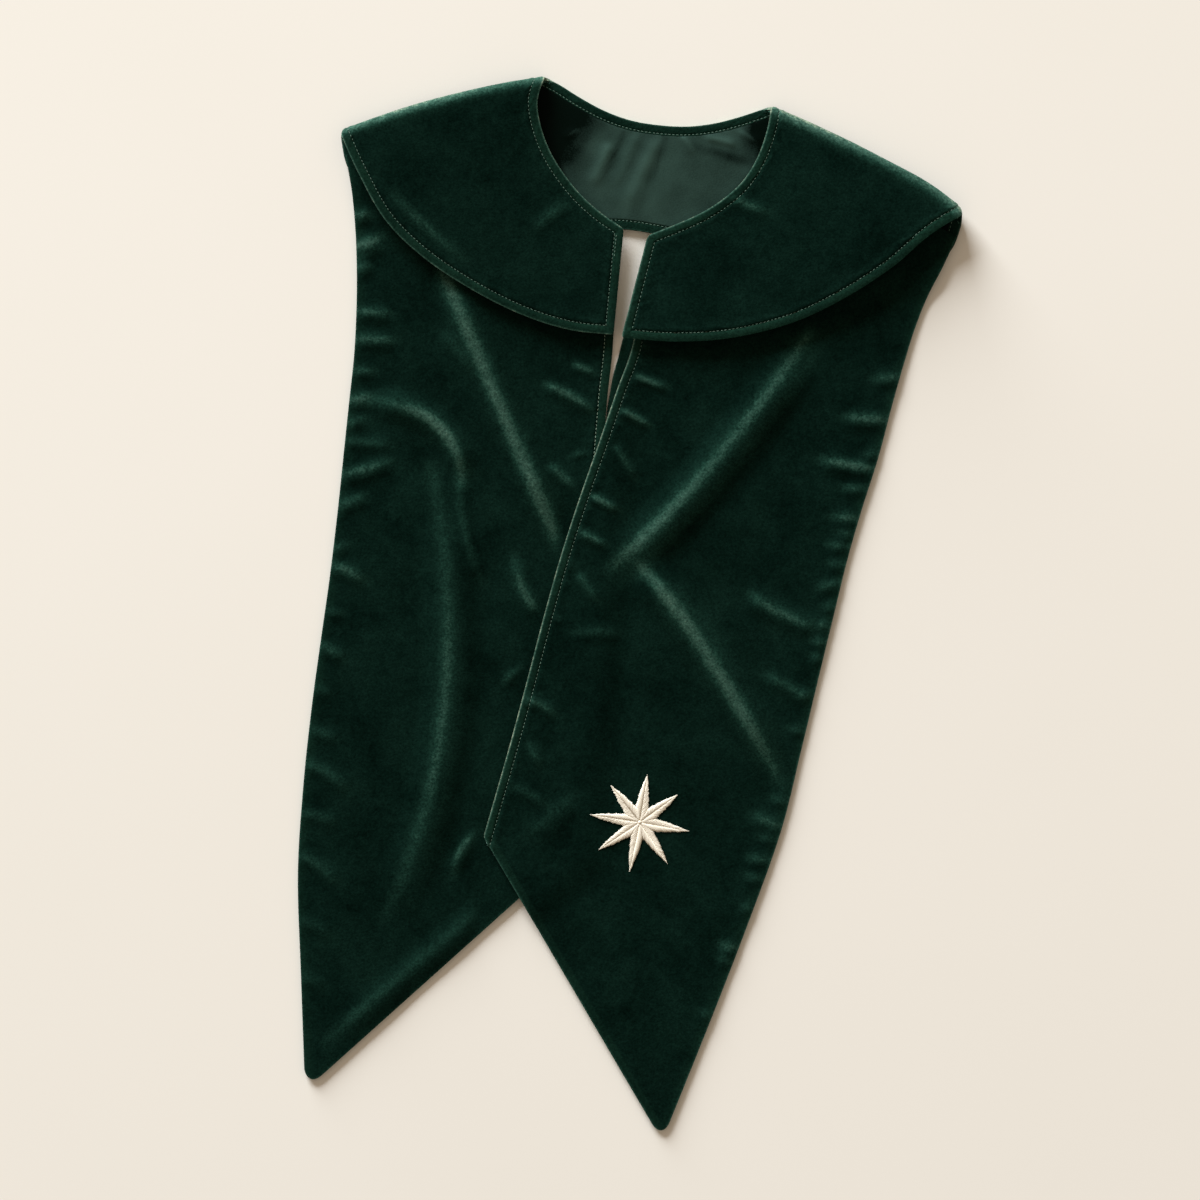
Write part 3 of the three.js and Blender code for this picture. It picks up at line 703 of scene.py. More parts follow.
def cloth_sheet(name, points, wall, rim, attributes):
    """A closed sheet whose face goes through a grid of points in millimetres."""
    rows, columns = points.shape[:2]
    bpy.ops.object.select_all(action="DESELECT")
    bpy.ops.mesh.primitive_grid_add(x_subdivisions=columns - 1, y_subdivisions=rows - 1, size=1)
    piece = bpy.context.object
    piece.name = name
    mesh = piece.data
    mesh.name = name
    mesh.vertices.foreach_set("co", (points[::-1] * MM).reshape(-1))
    for label, values in attributes.items():
        painted_on = mesh.attributes.new(label, "FLOAT", "POINT")
        one_each = np.ascontiguousarray(values[::-1], dtype=np.float32).reshape(-1)
        painted_on.data.foreach_set("value", one_each)
    mesh.update()
    solid = piece.modifiers.new("wall", "SOLIDIFY")
    solid.thickness = wall * MM
    solid.offset = -1
    roll = piece.modifiers.new("rolled_rim", "BEVEL")
    roll.width = rim * MM
    roll.segments = RIM_SEGMENTS
    roll.limit_method = "ANGLE"
    roll.angle_limit = RIM_ANGLE
    for modifier in list(piece.modifiers):
        bpy.ops.object.modifier_apply(modifier=modifier.name)
    bpy.ops.object.shade_smooth()
    print(f"{name}: {rows} x {columns} grid, {len(piece.data.polygons)} faces")
    return piece


print("a sheet's rim is rolled in", RIM_SEGMENTS, "steps")


# %% [markdown]
# ## The cape
#
# One continuous piece of velvet: left front, round the left shoulder, the back, round the right
# shoulder, right front. Its grid is laid out section by section and the three parts are joined
# before it becomes a mesh, so that there is no seam at the shoulders, as on the real one.

# %% Grids of the fronts and the back
FRONT_LINES = 88
BACK_LINES = 160
CAPE_LINES = 34
FRONT_REACH = 200.0  # a front's rough width, which is only used to place its first sections
FAR = 1e3  # distance to an edge that a part doesn't have


def front_speed(side, down):
    """Millimetres at right angles to the front edge for one whole share, at places down it."""
    ends = [curve(np.array([1 - TINY, 1.0]))[:, :2] for curve in CAPE_RAILS[side]]
    neck_rate, hem_rate = ((end[1] - end[0]) / TINY for end in ends)
    edge = unit(ends[1][1] - ends[0][1])
    return abs(cross2(mix(neck_rate, hem_rate, down[..., None]), edge))


def front_part(side):
    """Grid of a front from its front edge to the shoulder fold: shares, places down, distances."""
    shares = 1 - EDGE_LINES / FRONT_REACH
    down = across_shares(*millimetre_shares(CAPE_RAILS[side], shares), CAPE_LINES)
    speed = front_speed(side, down)
    by_edge = 1 - EDGE_LINES[:, None] / speed
    rest = 1 - np.cos(np.pi / 2 * np.linspace(1, 0, FRONT_LINES + 1)[1:])
    share = np.vstack([by_edge, by_edge[-1] * rest[:, None]])
    neck_scale, hem_scale = millimetre_shares(CAPE_RAILS[side], share)
    diagonal = np.arange(share.shape[1])
    down = across_shares(neck_scale, hem_scale, CAPE_LINES)[:, diagonal, diagonal]
    from_front = (1 - share) * front_speed(side, down)
    return share, down, from_front, down / neck_scale, (1 - down) / hem_scale


def back_part():
    """Grid of the back, with its sections crowded towards both folds."""
    shares = (1 - np.cos(np.pi * np.linspace(0, 1, BACK_LINES + 1)[1:-1])) / 2
    neck_scale, hem_scale = millimetre_shares(CAPE_RAILS["back"], shares)
    down = across_shares(neck_scale, hem_scale, CAPE_LINES)
    share = np.repeat(shares[:, None], down.shape[1], 1)
    far = np.full_like(share, FAR)
    return share, down, far, down / neck_scale[:, None], (1 - down) / hem_scale[:, None]


cape_parts = {"left": front_part("left"), "back": back_part(), "right": front_part("right")}
print("grids:", {side: part[0].shape for side, part in cape_parts.items()})

# %% Lay out the cape
cape_faces, cape_distances, is_front = [], [], []
for side in ["left", "back", "right"]:
    share, down, *distances = cape_parts[side]
    order = slice(None, None, -1) if side == "right" else slice(None)
    cape_faces.append(cape_face(side, share, down)[order])
    cape_distances.append(np.array(distances)[:, order])
    is_front.append(np.full(share.shape, side != "back"))
cape_points = np.concatenate(cape_faces)
from_front, from_neck, from_hem = np.concatenate(cape_distances, axis=1)
is_front = np.concatenate(is_front)
cape_normals = grid_normals(cape_points)
FIRST_BACK_ROW = len(cape_faces[0])
LAST_BACK_ROW = FIRST_BACK_ROW + len(cape_faces[1]) - 1
print("cape grid:", cape_points.shape, "height", round(float(cape_points[..., 2].max()), 2), "mm")

# %% Give it stitched edges and wrinkles
HEM_OFFSET = 37  # keeps the hem's waves out of step with the neckline's
CAPE_SLACK = 0.5  # height of the slow swells
CAPE_PHASE = 0.4
SLACK_REACH = 25  # from an edge to where the swells are full
BACK_SEAM = 0.6  # of the groove, on the back, which lies pressed against the table
run_round = run_along(cape_points, 0)
run_down = run_along(cape_points, 1)
inside = np.minimum(np.minimum(from_front, from_neck), from_hem)
run_of_edge = np.where(inside == from_neck, run_round, run_round + HEM_OFFSET)
run = np.where(inside == from_front, run_down, run_of_edge)
wrinkle, cape_brushed = ridges_over(RIDGES["cape"], cape_points[..., :2])
wrinkle, cape_brushed = wrinkle * is_front, cape_brushed * is_front
slack = CAPE_SLACK * swell(cape_points[..., :2], CAPE_PHASE) * is_front * ease(inside / SLACK_REACH)
relief = seam_profile(inside, run) + wrinkle + slack
relief = np.where(is_front, relief, np.minimum(relief, 0) * BACK_SEAM)
cape_surface = cape_points + cape_normals * relief[..., None]
print("relief on the cape:", relief.min().round(2), "to", relief.max().round(2), "mm")

# %% Paint highlights on its pile, and make it
# Painted highlights along the edges, strongest on edges that face the window
NECK_RIM = 1.6
HEM_RIM = {"left": 1.35, "right": 0.3}
FRONT_RIM = {"left": 0.1, "right": 1.5}
PAINTED_FOLD_SHEEN = [(FIRST_BACK_ROW - 1, 1.3, 3.8), (LAST_BACK_ROW + 1, 1.45, 4.6)]  # row, strength, width
GLOW_WAVES, GLOW_UNEVEN, GLOW_FALL = 9, 0.25, 1.4
BAND_SOFTNESS = 0.9  # over which an edge band's colour ends
row = np.arange(len(cape_points))[:, None]
is_left, is_right = row < FIRST_BACK_ROW, row > LAST_BACK_ROW
rim_at_hem = np.where(is_left, HEM_RIM["left"], np.where(is_right, HEM_RIM["right"], 0))
rim_at_front = np.where(is_left, FRONT_RIM["left"], FRONT_RIM["right"])
rim = np.where(inside == from_hem, rim_at_hem, rim_at_front)
rim = np.where(inside == from_neck, NECK_RIM, rim)
cape_brushed = cape_brushed + seam_painted_light(inside, run, rim)
# painted sheen along both shoulder folds, brightest at the fold
for fold_row, strength, width in PAINTED_FOLD_SHEEN:
    off_fold, along_fold, _ = nearest_on(cape_points[fold_row, ::3, :2], cape_points[..., :2])
    uneven = 1 + GLOW_UNEVEN * np.sin(along_fold * GLOW_WAVES + fold_row)
    cape_brushed += strength * uneven * np.exp(-((abs(off_fold) / width) ** GLOW_FALL)) * is_front
cape_band = 1 - ease((inside - BAND + BAND_SOFTNESS) / BAND_SOFTNESS)
CAPE_ROLL = 0.85
cape_values = {"brushed": cape_brushed, "edge_band": cape_band}
cape = cloth_sheet("velvet_cape", cape_surface, CAPE_WALL, CAPE_ROLL, cape_values)

# %% [markdown]
# ## The lining and the turned edges
#
# In the neck opening the inside of the back shows: sateen with soft folds that fan out from the
# neckline, because the lining is cut a little larger than the velvet, and the velvet's own edge
# turned in above and below it. They follow the cape's grid at a depth under its face.

# %% Folds of the lining: from, bend, to, half width, height, painted light (below zero, painted shade)
LINING_FOLDS = [
    ((21, 327), (10, 306), (-6, 272), 7.0, 1.2, (0.35, 0.7, 0.6, 0.45)),
    ((5, 330), (-1, 312), (-12, 288), 4.5, 0.8, (0.2, 0.35, 0.15)),
    ((-14, 323), (-18, 308), (-29, 290), 5.0, 1.1, (0.3, 0.75, 0.55, 0.1)),
    ((-36, 331), (-42, 329), (-48, 325), 2.6, 0.5, (0.4, 0.6, 0.2)),
    ((36, 328), (41, 322), (47, 312), 3.4, 0.7, (0.5, 0.6, 0.1)),
    ((52, 326), (62, 325), (76, 320), 3.2, 0.8, (0.3, 0.75, 0.2)),
    ((76, 331), (83, 326), (91, 322), 2.6, 0.6, (0.3, 0.5, 0.1)),
    ((30, 300), (20, 286), (10, 272), 9.0, 0.4, (0.1, 0.25, 0.2)),
    ((25, 326), (18, 306), (11, 290), 3.6, -0.5, (-0.4, -0.55, -0.2)),
    ((-4, 330), (-10, 315), (-20, 296), 3.2, -0.5, (-0.3, -0.5, -0.2)),
    ((41, 320), (60, 316), (88, 306), 6.0, -0.4, (-0.35, -0.6, -0.4)),
    ((-28, 330), (-34, 318), (-44, 308), 5.0, -0.3, (-0.2, -0.3, -0.2)),
]
print("folds of the lining:", len(LINING_FOLDS))

# %% Layers on the cape's inner face
LINING_PAST_FOLD = 22  # grid rows that the lining goes on round a fold
rows = slice(FIRST_BACK_ROW - LINING_PAST_FOLD, LAST_BACK_ROW + LINING_PAST_FOLD)
full_length = from_neck[:, -1]


def inside_layer(low, high, lines):
    """Points of the cape's inner face between two shares of each section's columns."""
    low, high = low[rows], high[rows]
    wanted = mix(low[:, None], high[:, None], np.linspace(0, 1, lines))
    measured = from_neck[rows]
    picked = []
    for grid in (cape_points[rows], cape_normals[rows]):
        picked.append(np.stack([
            np.stack([np.interp(w, m, g[:, axis]) for axis in range(3)], -1)
            for w, m, g in zip(wanted, measured, grid)
        ]))
    return picked[0], unit(picked[1]), wanted


LINING_MARGIN = 7.0
LINING_LINES = 60
lining_low = np.full(len(full_length), LINING_MARGIN)
lining_high = full_length - LINING_MARGIN
face, normal, _ = inside_layer(lining_low, lining_high, LINING_LINES)
print("lining grid:", face.shape[:2])

# %% Where the lining is open to view, and how its folds rise there
CLEAR_START, CLEAR_REACH = 2, 10  # beside a panel's inner edge
LEVEL_START, LEVEL_REACH = 0.5, 0.4  # how far the inner face looks up
FOLD_POINTS = 30
LIFT_WIDTH, LIGHT_WIDTH = 1.6, 0.62  # shares of a fold's half width
flat_xy = face[..., :2]
flat_x, flat_y = flat_xy[..., 0], flat_xy[..., 1]
left_edge, right_edge = (column_x(PANELS[panel], INNER, flat_y) for panel in ("left", "right"))
clear_of_left = ease((flat_x - left_edge - CLEAR_START) / CLEAR_REACH)
clear_of_right = ease((right_edge - CLEAR_START - flat_x) / CLEAR_REACH)
facing_up = ease((-normal[..., 2] - LEVEL_START) / LEVEL_REACH)
open_part = clear_of_left * clear_of_right * facing_up
lining_rise, lining_light = np.zeros(flat_xy.shape[:2]), np.zeros(flat_xy.shape[:2])
for *ends, half_width, fold_height, light in LINING_FOLDS:
    line = curve_points(*ends, FOLD_POINTS)
    weights = np.interp(np.linspace(0, 1, FOLD_POINTS), np.linspace(0, 1, len(light)), light)
    lining_rise += ridge_rise(flat_xy, *ends, LIFT_WIDTH * half_width, fold_height)
    lining_light += soft_stroke(flat_xy, line, weights, 0.0, LIGHT_WIDTH * half_width)[0]
print("highest fold of the lining:", lining_rise.max().round(2), "mm")

# %% Shade inside the shoulder folds, and the lining itself
DARK_LINE_AT = np.array([-14.7, 341.6])  # the shade inside the left fold ends along this line
DARK_LINE_SIDE = unit(np.array([-49.0, 30.8]))
DARK_START, DARK_REACH = -10, 44
RIGHT_SHADE_X, RIGHT_SHADE_Y = (74, 18), (304, 26)  # where it begins, and over what it deepens
FOLD_CATCH, LEFT_SHADE, RIGHT_SHADE, HIDDEN_SHADE = 0.75, 1.2, 0.9, -1.5
past_dark_line = (flat_xy - DARK_LINE_AT) @ DARK_LINE_SIDE
in_left_fold = ease((past_dark_line - DARK_START) / DARK_REACH)
in_right_fold = ease((flat_x - RIGHT_SHADE_X[0]) / RIGHT_SHADE_X[1])
in_right_fold = in_right_fold * ease((flat_y - RIGHT_SHADE_Y[0]) / RIGHT_SHADE_Y[1])
lining_light = FOLD_CATCH * lining_light - LEFT_SHADE * in_left_fold - RIGHT_SHADE * in_right_fold
# painted shade where the panels cover the lining
lining_light = mix(HIDDEN_SHADE, lining_light, clear_of_left * clear_of_right)
lining_lift = np.clip(lining_rise, 0, None) * open_part
lining_points = face - normal * (INSIDE_DEPTH + LINING_WALL + lining_lift)[..., None]
LINING_ROLL = 0.3
lining_values = {"brushed": lining_light[:, ::-1]}
lining_points = lining_points[:, ::-1]
lining = cloth_sheet("sateen_lining", lining_points, LINING_WALL, LINING_ROLL, lining_values)

# %% Velvet edges turned in at the back neckline and the back hem
FACING_END = 6.8  # how far in from the cape's edge the turned velvet reaches
FACING_INSET = 0.2  # how far in it starts
FACING_LINES = 17
FACING_RELIEF = 0.6  # of an edge's relief, because the turned velvet is pressed flat
FACING_ROLL = 0.4
FACING_BAND = 0.6
FOLD_SHARE, RIM_SHARE = 0.4, 0.2  # millimetres of cloth that its fold takes up, and its painted rim highlight
# strength of the painted highlight along a turned edge's rim
TURNED_RIM = 0.9


def turned_edge(name, low, high):
    """A turned-in edge's sheet, the points of its face and the cape's normals there."""
    face, normal, inside_neck = inside_layer(low, high, FACING_LINES)
    at_neck = name == "turned_neckline"
    width = inside_neck - low[rows][:, None] if at_neck else high[rows][:, None] - inside_neck
    along = run_along(face, 0)
    depth = INSIDE_DEPTH + LINING_WALL + FACING_RELIEF * seam_profile(width + FOLD_SHARE, along)
    points = face - normal * depth[..., None]
    values = {
        "brushed": seam_painted_light(width + RIM_SHARE, along, TURNED_RIM)[:, ::-1],
        "edge_band": np.full(width.shape, FACING_BAND),
    }
    return cloth_sheet(name, points[:, ::-1], LINING_WALL, FACING_ROLL, values), points, normal


start = np.full(len(full_length), FACING_INSET)
neck_facing, neck_facing_points, facing_normals = turned_edge(
    "turned_neckline", start, start - FACING_INSET + FACING_END
)
hem_facing, hem_facing_points, hem_facing_normals = turned_edge(
    "turned_hem", full_length - FACING_END, full_length - FACING_INSET
)

# %% [markdown]
# ## The long panels
#
# Each panel is laid out from the shoulder to its slanted lower edge, with grid lines parallel to
# its inner edge, outer edge and slant. Its height is the underside of the solid plus the wall, the
# ridges and puckers, and the stitched inner edge.

# %% Lay out a panel's grid
PANEL_ROWS = 330
PANEL_COLUMNS = 72


def panel_grid(panel):
    """Places, and distances inside the inner edge, the outer edge and the slant."""
    table = PANELS[panel]
    edges = (OUTER, INNER) if panel == "left" else (INNER, OUTER)
    first, last = (rail(table, edge) for edge in edges)

    def scales(along):
        return millimetre_shares((first, last), along)

    def slant_speed(across):
        """Millimetres at right angles to the slant for one whole share along, at places across."""
        near, end = (
            np.array([curve(np.array(at)) for curve in (first, last)]) for at in (1 - TINY, 1.0)
        )
        rates = (end - near) / TINY
        return abs(cross2(mix(rates[0], rates[1], across[..., None]), unit(end[1] - end[0])))

    last_scales = (scale[None] for scale in scales(np.array(1.0)))
    last_row = across_shares(*last_scales, PANEL_COLUMNS)[0]
    by_edge = 1 - EDGE_LINES[:, None] / slant_speed(last_row)
    rest = np.linspace(1, 0, PANEL_ROWS + 1)[1:]
    along = np.vstack([by_edge, by_edge[-1] * rest[:, None]])[::-1]
    first_scale, last_scale = scales(along)
    diagonal = np.arange(along.shape[1])
    across = across_shares(first_scale, last_scale, PANEL_COLUMNS)[:, diagonal, diagonal]
    xy = mix(first(along), last(along), across[..., None])
    from_first, from_last = across / first_scale, (1 - across) / last_scale
    from_slant = (1 - along) * slant_speed(across)
    inner, outer = (from_last, from_first) if panel == "left" else (from_first, from_last)
    return round_corners(xy, PANEL_CORNERS[panel]), inner, outer, from_slant


print("grid of a panel:", panel_grid("left")[0].shape[:2])

# %% Height and painted light of a panel
PANEL_SLACK = 0.7  # height of the slow swells, where nothing holds the cloth level
PANEL_PHASE = 1.7
FREE_OVER = {"left": (0.5, 2.5), "right": (3.0, 0.6)}  # height where the swell fades, over what


def panel_top(panel, xy):
    """Height of a panel's upper face away from its seams, and its painted light."""
    rise, brushed = ridges_over(ALL_RIDGES[panel], xy)
    base = underside(panel, xy)
    if panel == "left":
        showing = ease((column_x(PANELS["right"], INNER, xy[..., 1]) - xy[..., 0]) / TUCK)
        rise, brushed = rise * showing, brushed * showing
    fade_from, fade_over = FREE_OVER[panel]
    free = 1 - ease((base - fade_from) / fade_over)
    return base + PANEL_WALL + rise + PANEL_SLACK * swell(xy, PANEL_PHASE) * free, brushed


for panel, stations in PANELS.items():
    edge_height, _ = panel_top(panel, np.array([stations[len(stations) // 2][OUTER]]))
    print(f"{panel} panel, halfway down its outer edge:", edge_height[0].round(2), "mm high")

# %% Dress both panels
PANEL_RIM = {"left": (0.05, 0.5), "right": (2.1, 0.7)}  # strength of the painted highlight on the inner and outer edges
OUTER_RIM_WIDTH = 0.9
OUTER_BAND, OUTER_BAND_REACH = 0.6, 9
SLANT_BAND = {"left": 0.15, "right": 0.55}
SLANT_START, SLANT_SOFTNESS = BAND - 1, 1.5
PANEL_ROLL = 0.95


def dress_panel(panel):
    """A panel's sheet, and the points of its face."""
    xy, inner, outer, slant = panel_grid(panel)
    height, brushed = panel_top(panel, xy)
    points = np.concatenate([xy, height[..., None]], -1)
    run = run_along(points, 0)
    relief = seam_profile(inner, run)
    lifted = points + grid_normals(points) * relief[..., None]
    soft_edge = np.minimum(outer, slant)
    # painted highlights of the seam, and along the outer and slanted edges
    brushed = brushed + seam_painted_light(inner, run, PANEL_RIM[panel][INNER])
    brushed = brushed + PANEL_RIM[panel][OUTER] * bump_at(soft_edge, 0, OUTER_RIM_WIDTH)
    inner_band = 1 - ease((inner - BAND + BAND_SOFTNESS) / BAND_SOFTNESS)
    outer_band = OUTER_BAND * (1 - ease(outer / OUTER_BAND_REACH))
    lower_band = SLANT_BAND[panel] * (1 - ease((slant - SLANT_START) / SLANT_SOFTNESS))
    band = np.maximum(np.maximum(inner_band, outer_band), lower_band)
    values = {"brushed": brushed, "edge_band": band}
    return cloth_sheet(f"velvet_{panel}_panel", lifted, PANEL_WALL, PANEL_ROLL, values), lifted


left_panel, left_points = dress_panel("left")
right_panel, right_points = dress_panel("right")

# %% [markdown]
# ## A facing in the front slit
#
# In the narrow slit between the panels the right panel's turned-under edge shows as a dark strip
# with a lit edge. It is a short, thin sheet that lies under the right panel.

# %% Strip under the right panel's inner edge
STRIP_EDGE = [
    (-0.5, 200.0), (-5.2, 184.5), (-8.6, 171.0), (-11.8, 159.6),
    (-14.2, 146.5), (-16.0, 135.5), (-17.0, 124.0),
]
STRIP_WIDTH = 9.0
STRIP_TOP = 1.5
STRIP_WALL = 0.9
STRIP_DIP, STRIP_DIP_WIDTH = 0.5, 1.2  # the edge rolls down a little
# painted highlight along the strip's edge: strength and width
STRIP_HIGHLIGHT, STRIP_HIGHLIGHT_WIDTH = 0.6, 0.8
STRIP_ROWS, STRIP_COLUMNS = 40, 14
STRIP_ROLL = STRIP_BAND = 0.35
strip_rail = rail([(point,) for point in STRIP_EDGE], 0)(np.linspace(0, 1, STRIP_ROWS))
strip_across = np.linspace(0, STRIP_WIDTH, STRIP_COLUMNS)
strip_xy = strip_rail[:, None] + np.stack([strip_across, 0 * strip_across], -1)
strip_height = STRIP_TOP - STRIP_DIP * bump_at(strip_across, 0, STRIP_DIP_WIDTH)
strip_height = np.broadcast_to(strip_height, strip_xy.shape[:2])
strip_points = np.concatenate([strip_xy, strip_height[..., None]], -1)
strip_highlight = STRIP_HIGHLIGHT * bump_at(strip_across, 0, STRIP_HIGHLIGHT_WIDTH)
strip_highlight = np.broadcast_to(strip_highlight, strip_xy.shape[:2])
strip_values = {"brushed": strip_highlight, "edge_band": np.full(strip_highlight.shape, STRIP_BAND)}
strip = cloth_sheet("panel_edge_facing", strip_points, STRIP_WALL, STRIP_ROLL, strip_values)

# %% [markdown]
# ## Topstitching
#
# Each stitch is a short bead of thread that lies in the seam's groove. One bead is modelled from a
# sphere, and copied along every stitch line with a small, seeded unevenness, as a hand-guided
# machine leaves. The lines are rows and columns of the sheets' own grids.

# %% One stitch
STITCH_PITCH = 2.75
STITCH_LENGTH = 1.75
STITCH_THICKNESS = 0.5
STITCH_FLATNESS = 0.8  # a stitch's height as a share of its thickness
STITCH_RAISED = 0.14  # of its middle over the groove
bpy.ops.object.select_all(action="DESELECT")
bpy.ops.mesh.primitive_uv_sphere_add(segments=6, ring_count=5, radius=0.5)
one_stitch = bpy.context.object
one_stitch.name = "one_stitch"
bpy.ops.object.mode_set(mode="EDIT")
bpy.ops.mesh.select_all(action="SELECT")
bpy.ops.transform.rotate(value=math.pi / 2, orient_axis="Y", center_override=(0, 0, 0))
bpy.ops.transform.resize(
    value=(STITCH_LENGTH, STITCH_THICKNESS, STITCH_THICKNESS * STITCH_FLATNESS)
)
bpy.ops.object.mode_set(mode="OBJECT")
print("faces of one stitch:", len(one_stitch.data.polygons))


# %% From one piece to many copies
def template_of(piece):
    """A piece's points and faces, ready to be copied."""
    points = np.empty(len(piece.data.vertices) * 3)
    piece.data.vertices.foreach_get("co", points)
    faces = [list(face.vertices) for face in piece.data.polygons]
    bpy.data.objects.remove(piece)
    return points.reshape(-1, 3), faces


def copies(name, template, placed):
    """One mesh of many copies; each entry of `placed` holds one copy's points in millimetres."""
    faces = template[1]
    count = len(template[0])
    mesh = bpy.data.meshes.new(name)
    shifted = [
        [corner + count * k for corner in face] for k in range(len(placed)) for face in faces
    ]
    mesh.from_pydata((np.concatenate(placed) * MM).tolist(), [], shifted)
    mesh.shade_smooth()
    piece = bpy.data.objects.new(name, mesh)
    bpy.context.collection.objects.link(piece)
    return piece


stitch_template = template_of(one_stitch)
unevenness = np.random.RandomState(7)  # one seeded draw for stitches and threads alike
print("corners and faces of one stitch:", len(stitch_template[0]), len(stitch_template[1]))

# %% A row of stitches along a line of points
STITCH_WANDER = 0.15  # along the line, in millimetres
STITCH_TURN = 0.08
STITCH_UNEVEN = 0.1
LOOK_AHEAD = 0.5  # a stitch takes its heading from points this far before and after it


def stitch_copies(line, normals):
    """Places of all stitches along a line of points, each a little uneven."""
    travelled = np.concatenate([[0], np.cumsum(np.linalg.norm(np.diff(line, axis=0), axis=-1))])

    def read(grid, place):
        return np.array([np.interp(place, travelled, grid[:, axis]) for axis in range(3)])

    placed = []
    for centre in np.arange(STITCH_PITCH / 2, travelled[-1], STITCH_PITCH):
        at = centre + unevenness.uniform(-STITCH_WANDER, STITCH_WANDER)
        forward = unit(read(line, at + LOOK_AHEAD) - read(line, at - LOOK_AHEAD))
        up = read(normals, at)
        up = unit(up - forward * (up @ forward))
        side = np.cross(up, forward)
        turned = unit(forward + side * unevenness.uniform(-STITCH_TURN, STITCH_TURN))
        axes = np.array([turned, np.cross(up, turned), up])
        size = np.array([unevenness.uniform(1 - STITCH_UNEVEN, 1 + STITCH_UNEVEN), 1, 1])
        placed.append((stitch_template[0] * size) @ axes + read(line, at) + up * STITCH_RAISED)
    return placed


def stitched(name, *lines):
    """One mesh with the stitches of some lines, each a line of points and its upward directions."""
    return copies(name, stitch_template, sum((stitch_copies(*line) for line in lines), []))


print("stitches to 100 mm of seam:", round(100 / STITCH_PITCH))

# %% Stitch lines of the cape, the turned edges and the panels
surface_normals = grid_normals(cape_surface)
last_row, last_column = (size - 1 - STITCH_LINE for size in cape_surface.shape[:2])
all_rows, all_columns = slice(STITCH_LINE, last_row + 1), slice(STITCH_LINE, last_column + 1)
DOUBLE_ROW = 5  # grid line of the short second row at the top of the left front edge
DOUBLE_COLUMNS = slice(STITCH_LINE, STITCH_LINE + 14)
cape_lines = [
    (all_rows, STITCH_LINE),
    (all_rows, last_column),
    (STITCH_LINE, all_columns),
    (last_row, all_columns),
    (DOUBLE_ROW, DOUBLE_COLUMNS),
]
cape_stitches = stitched(
    "cape_topstitching", *((cape_surface[line], surface_normals[line]) for line in cape_lines)
)
NECK_STITCH, HEM_STITCH = 14, 2  # grid columns of the turned edges
facing_stitches = stitched(
    "neckline_topstitching", (neck_facing_points[:, NECK_STITCH], -facing_normals[:, NECK_STITCH])
)
hem_facing_stitches = stitched(
    "back_hem_topstitching", (hem_facing_points[:, HEM_STITCH], -hem_facing_normals[:, HEM_STITCH])
)
FIRST_SHOWN = 100  # the first rows of a panel lie inside the cape


def panel_line(points, column):
    return points[FIRST_SHOWN:, column], grid_normals(points)[FIRST_SHOWN:, column]


left_stitches = stitched("left_panel_topstitching", panel_line(left_points, -1 - STITCH_LINE))
right_stitches = stitched("right_panel_topstitching", panel_line(right_points, STITCH_LINE))
print("faces in the cape's stitches:", len(cape_stitches.data.polygons))

# %% [markdown]
# ## The star
#
# Satin stitch covers a padded shape with threads that lie side by side. Each of the eight rays has
# a sunk vein, and its threads slant from the vein outwards to the edge, so the edge is finely
# notched. A padding of the star's outline lies under them, and both follow the velvet's height.

# %% The star's measures and its height over the velvet
STAR_CENTRE = np.array([6.8, -153.4])
RAYS = [  # heading in degrees, reach
    (80.9, 34.2), (128.1, 33.4), (171.3, 35.4), (213.8, 35.2),
    (258.3, 35.9), (303.9, 35.3), (349.7, 35.3), (396.0, 33.4),
]
STAR_VALLEY = 12.0
THREAD_PITCH = 1.35
THREAD_SLANT = 5.5  # how much further out a thread ends than it starts
THREAD_RADIUS = 0.74
THREAD_BULGE = 0.5  # how far the edge of a ray bows out
THREAD_ARCH = (0.38, 0.36)  # lift at the vein, and how much higher the middle of a thread lies
PADDING = 0.5
PADDING_SHARE = 0.93  # of the star's outline
KNOT_RADIUS = 1.3
RAY_ANGLE = 2 * math.pi / len(RAYS)
HEADINGS = np.radians([heading for heading, _ in RAYS] + [RAYS[0][0] + 360])


def on_velvet(xy, lift):
    """Places at a lift over the right panel's velvet."""
    height, _ = panel_top("right", xy)
    return np.concatenate([xy, (height + lift)[..., None]], -1)


print("velvet under the star:", on_velvet(STAR_CENTRE[None], np.zeros(1))[0, 2].round(2), "mm high")

# %% [markdown]
# The padding starts as a filled circle with two corners for each ray. Subdividing gives it points
# to bend, and extruding gives it a top. Its points then go where the star's outline and the velvet
# want them.

# %% Padding
bpy.ops.object.select_all(action="DESELECT")
bpy.ops.mesh.primitive_circle_add(vertices=2 * len(RAYS), radius=1, fill_type="TRIFAN")
padding = bpy.context.object
padding.name = "star_padding"
bpy.ops.object.mode_set(mode="EDIT")
bpy.ops.mesh.select_all(action="SELECT")
bpy.ops.mesh.subdivide(number_cuts=3)
bpy.ops.mesh.select_all(action="SELECT")
bpy.ops.mesh.extrude_region_move(TRANSFORM_OT_translate={"value": (0, 0, 1)})
bpy.ops.mesh.select_all(action="SELECT")
bpy.ops.mesh.normals_make_consistent(inside=False)
bpy.ops.object.mode_set(mode="OBJECT")
print("padding:", len(padding.data.polygons), "faces")


# %% Pull the padding into the star's outline
def star_outline(turn):
    """Reach and heading of the star's outline at an even angle counted from the first ray."""
    nearest = np.round(turn / RAY_ANGLE).astype(int)
    ray_reach = np.array([reach for _, reach in RAYS])[nearest % len(RAYS)]
    off = abs(turn - nearest * RAY_ANGLE)
    across = STAR_VALLEY * math.sin(RAY_ANGLE / 2)
    along = STAR_VALLEY * math.cos(RAY_ANGLE / 2) - ray_reach
    heading = np.interp(turn / RAY_ANGLE, np.arange(len(HEADINGS)), HEADINGS)
    return ray_reach * across / (np.cos(off) * across - np.sin(off) * along), heading


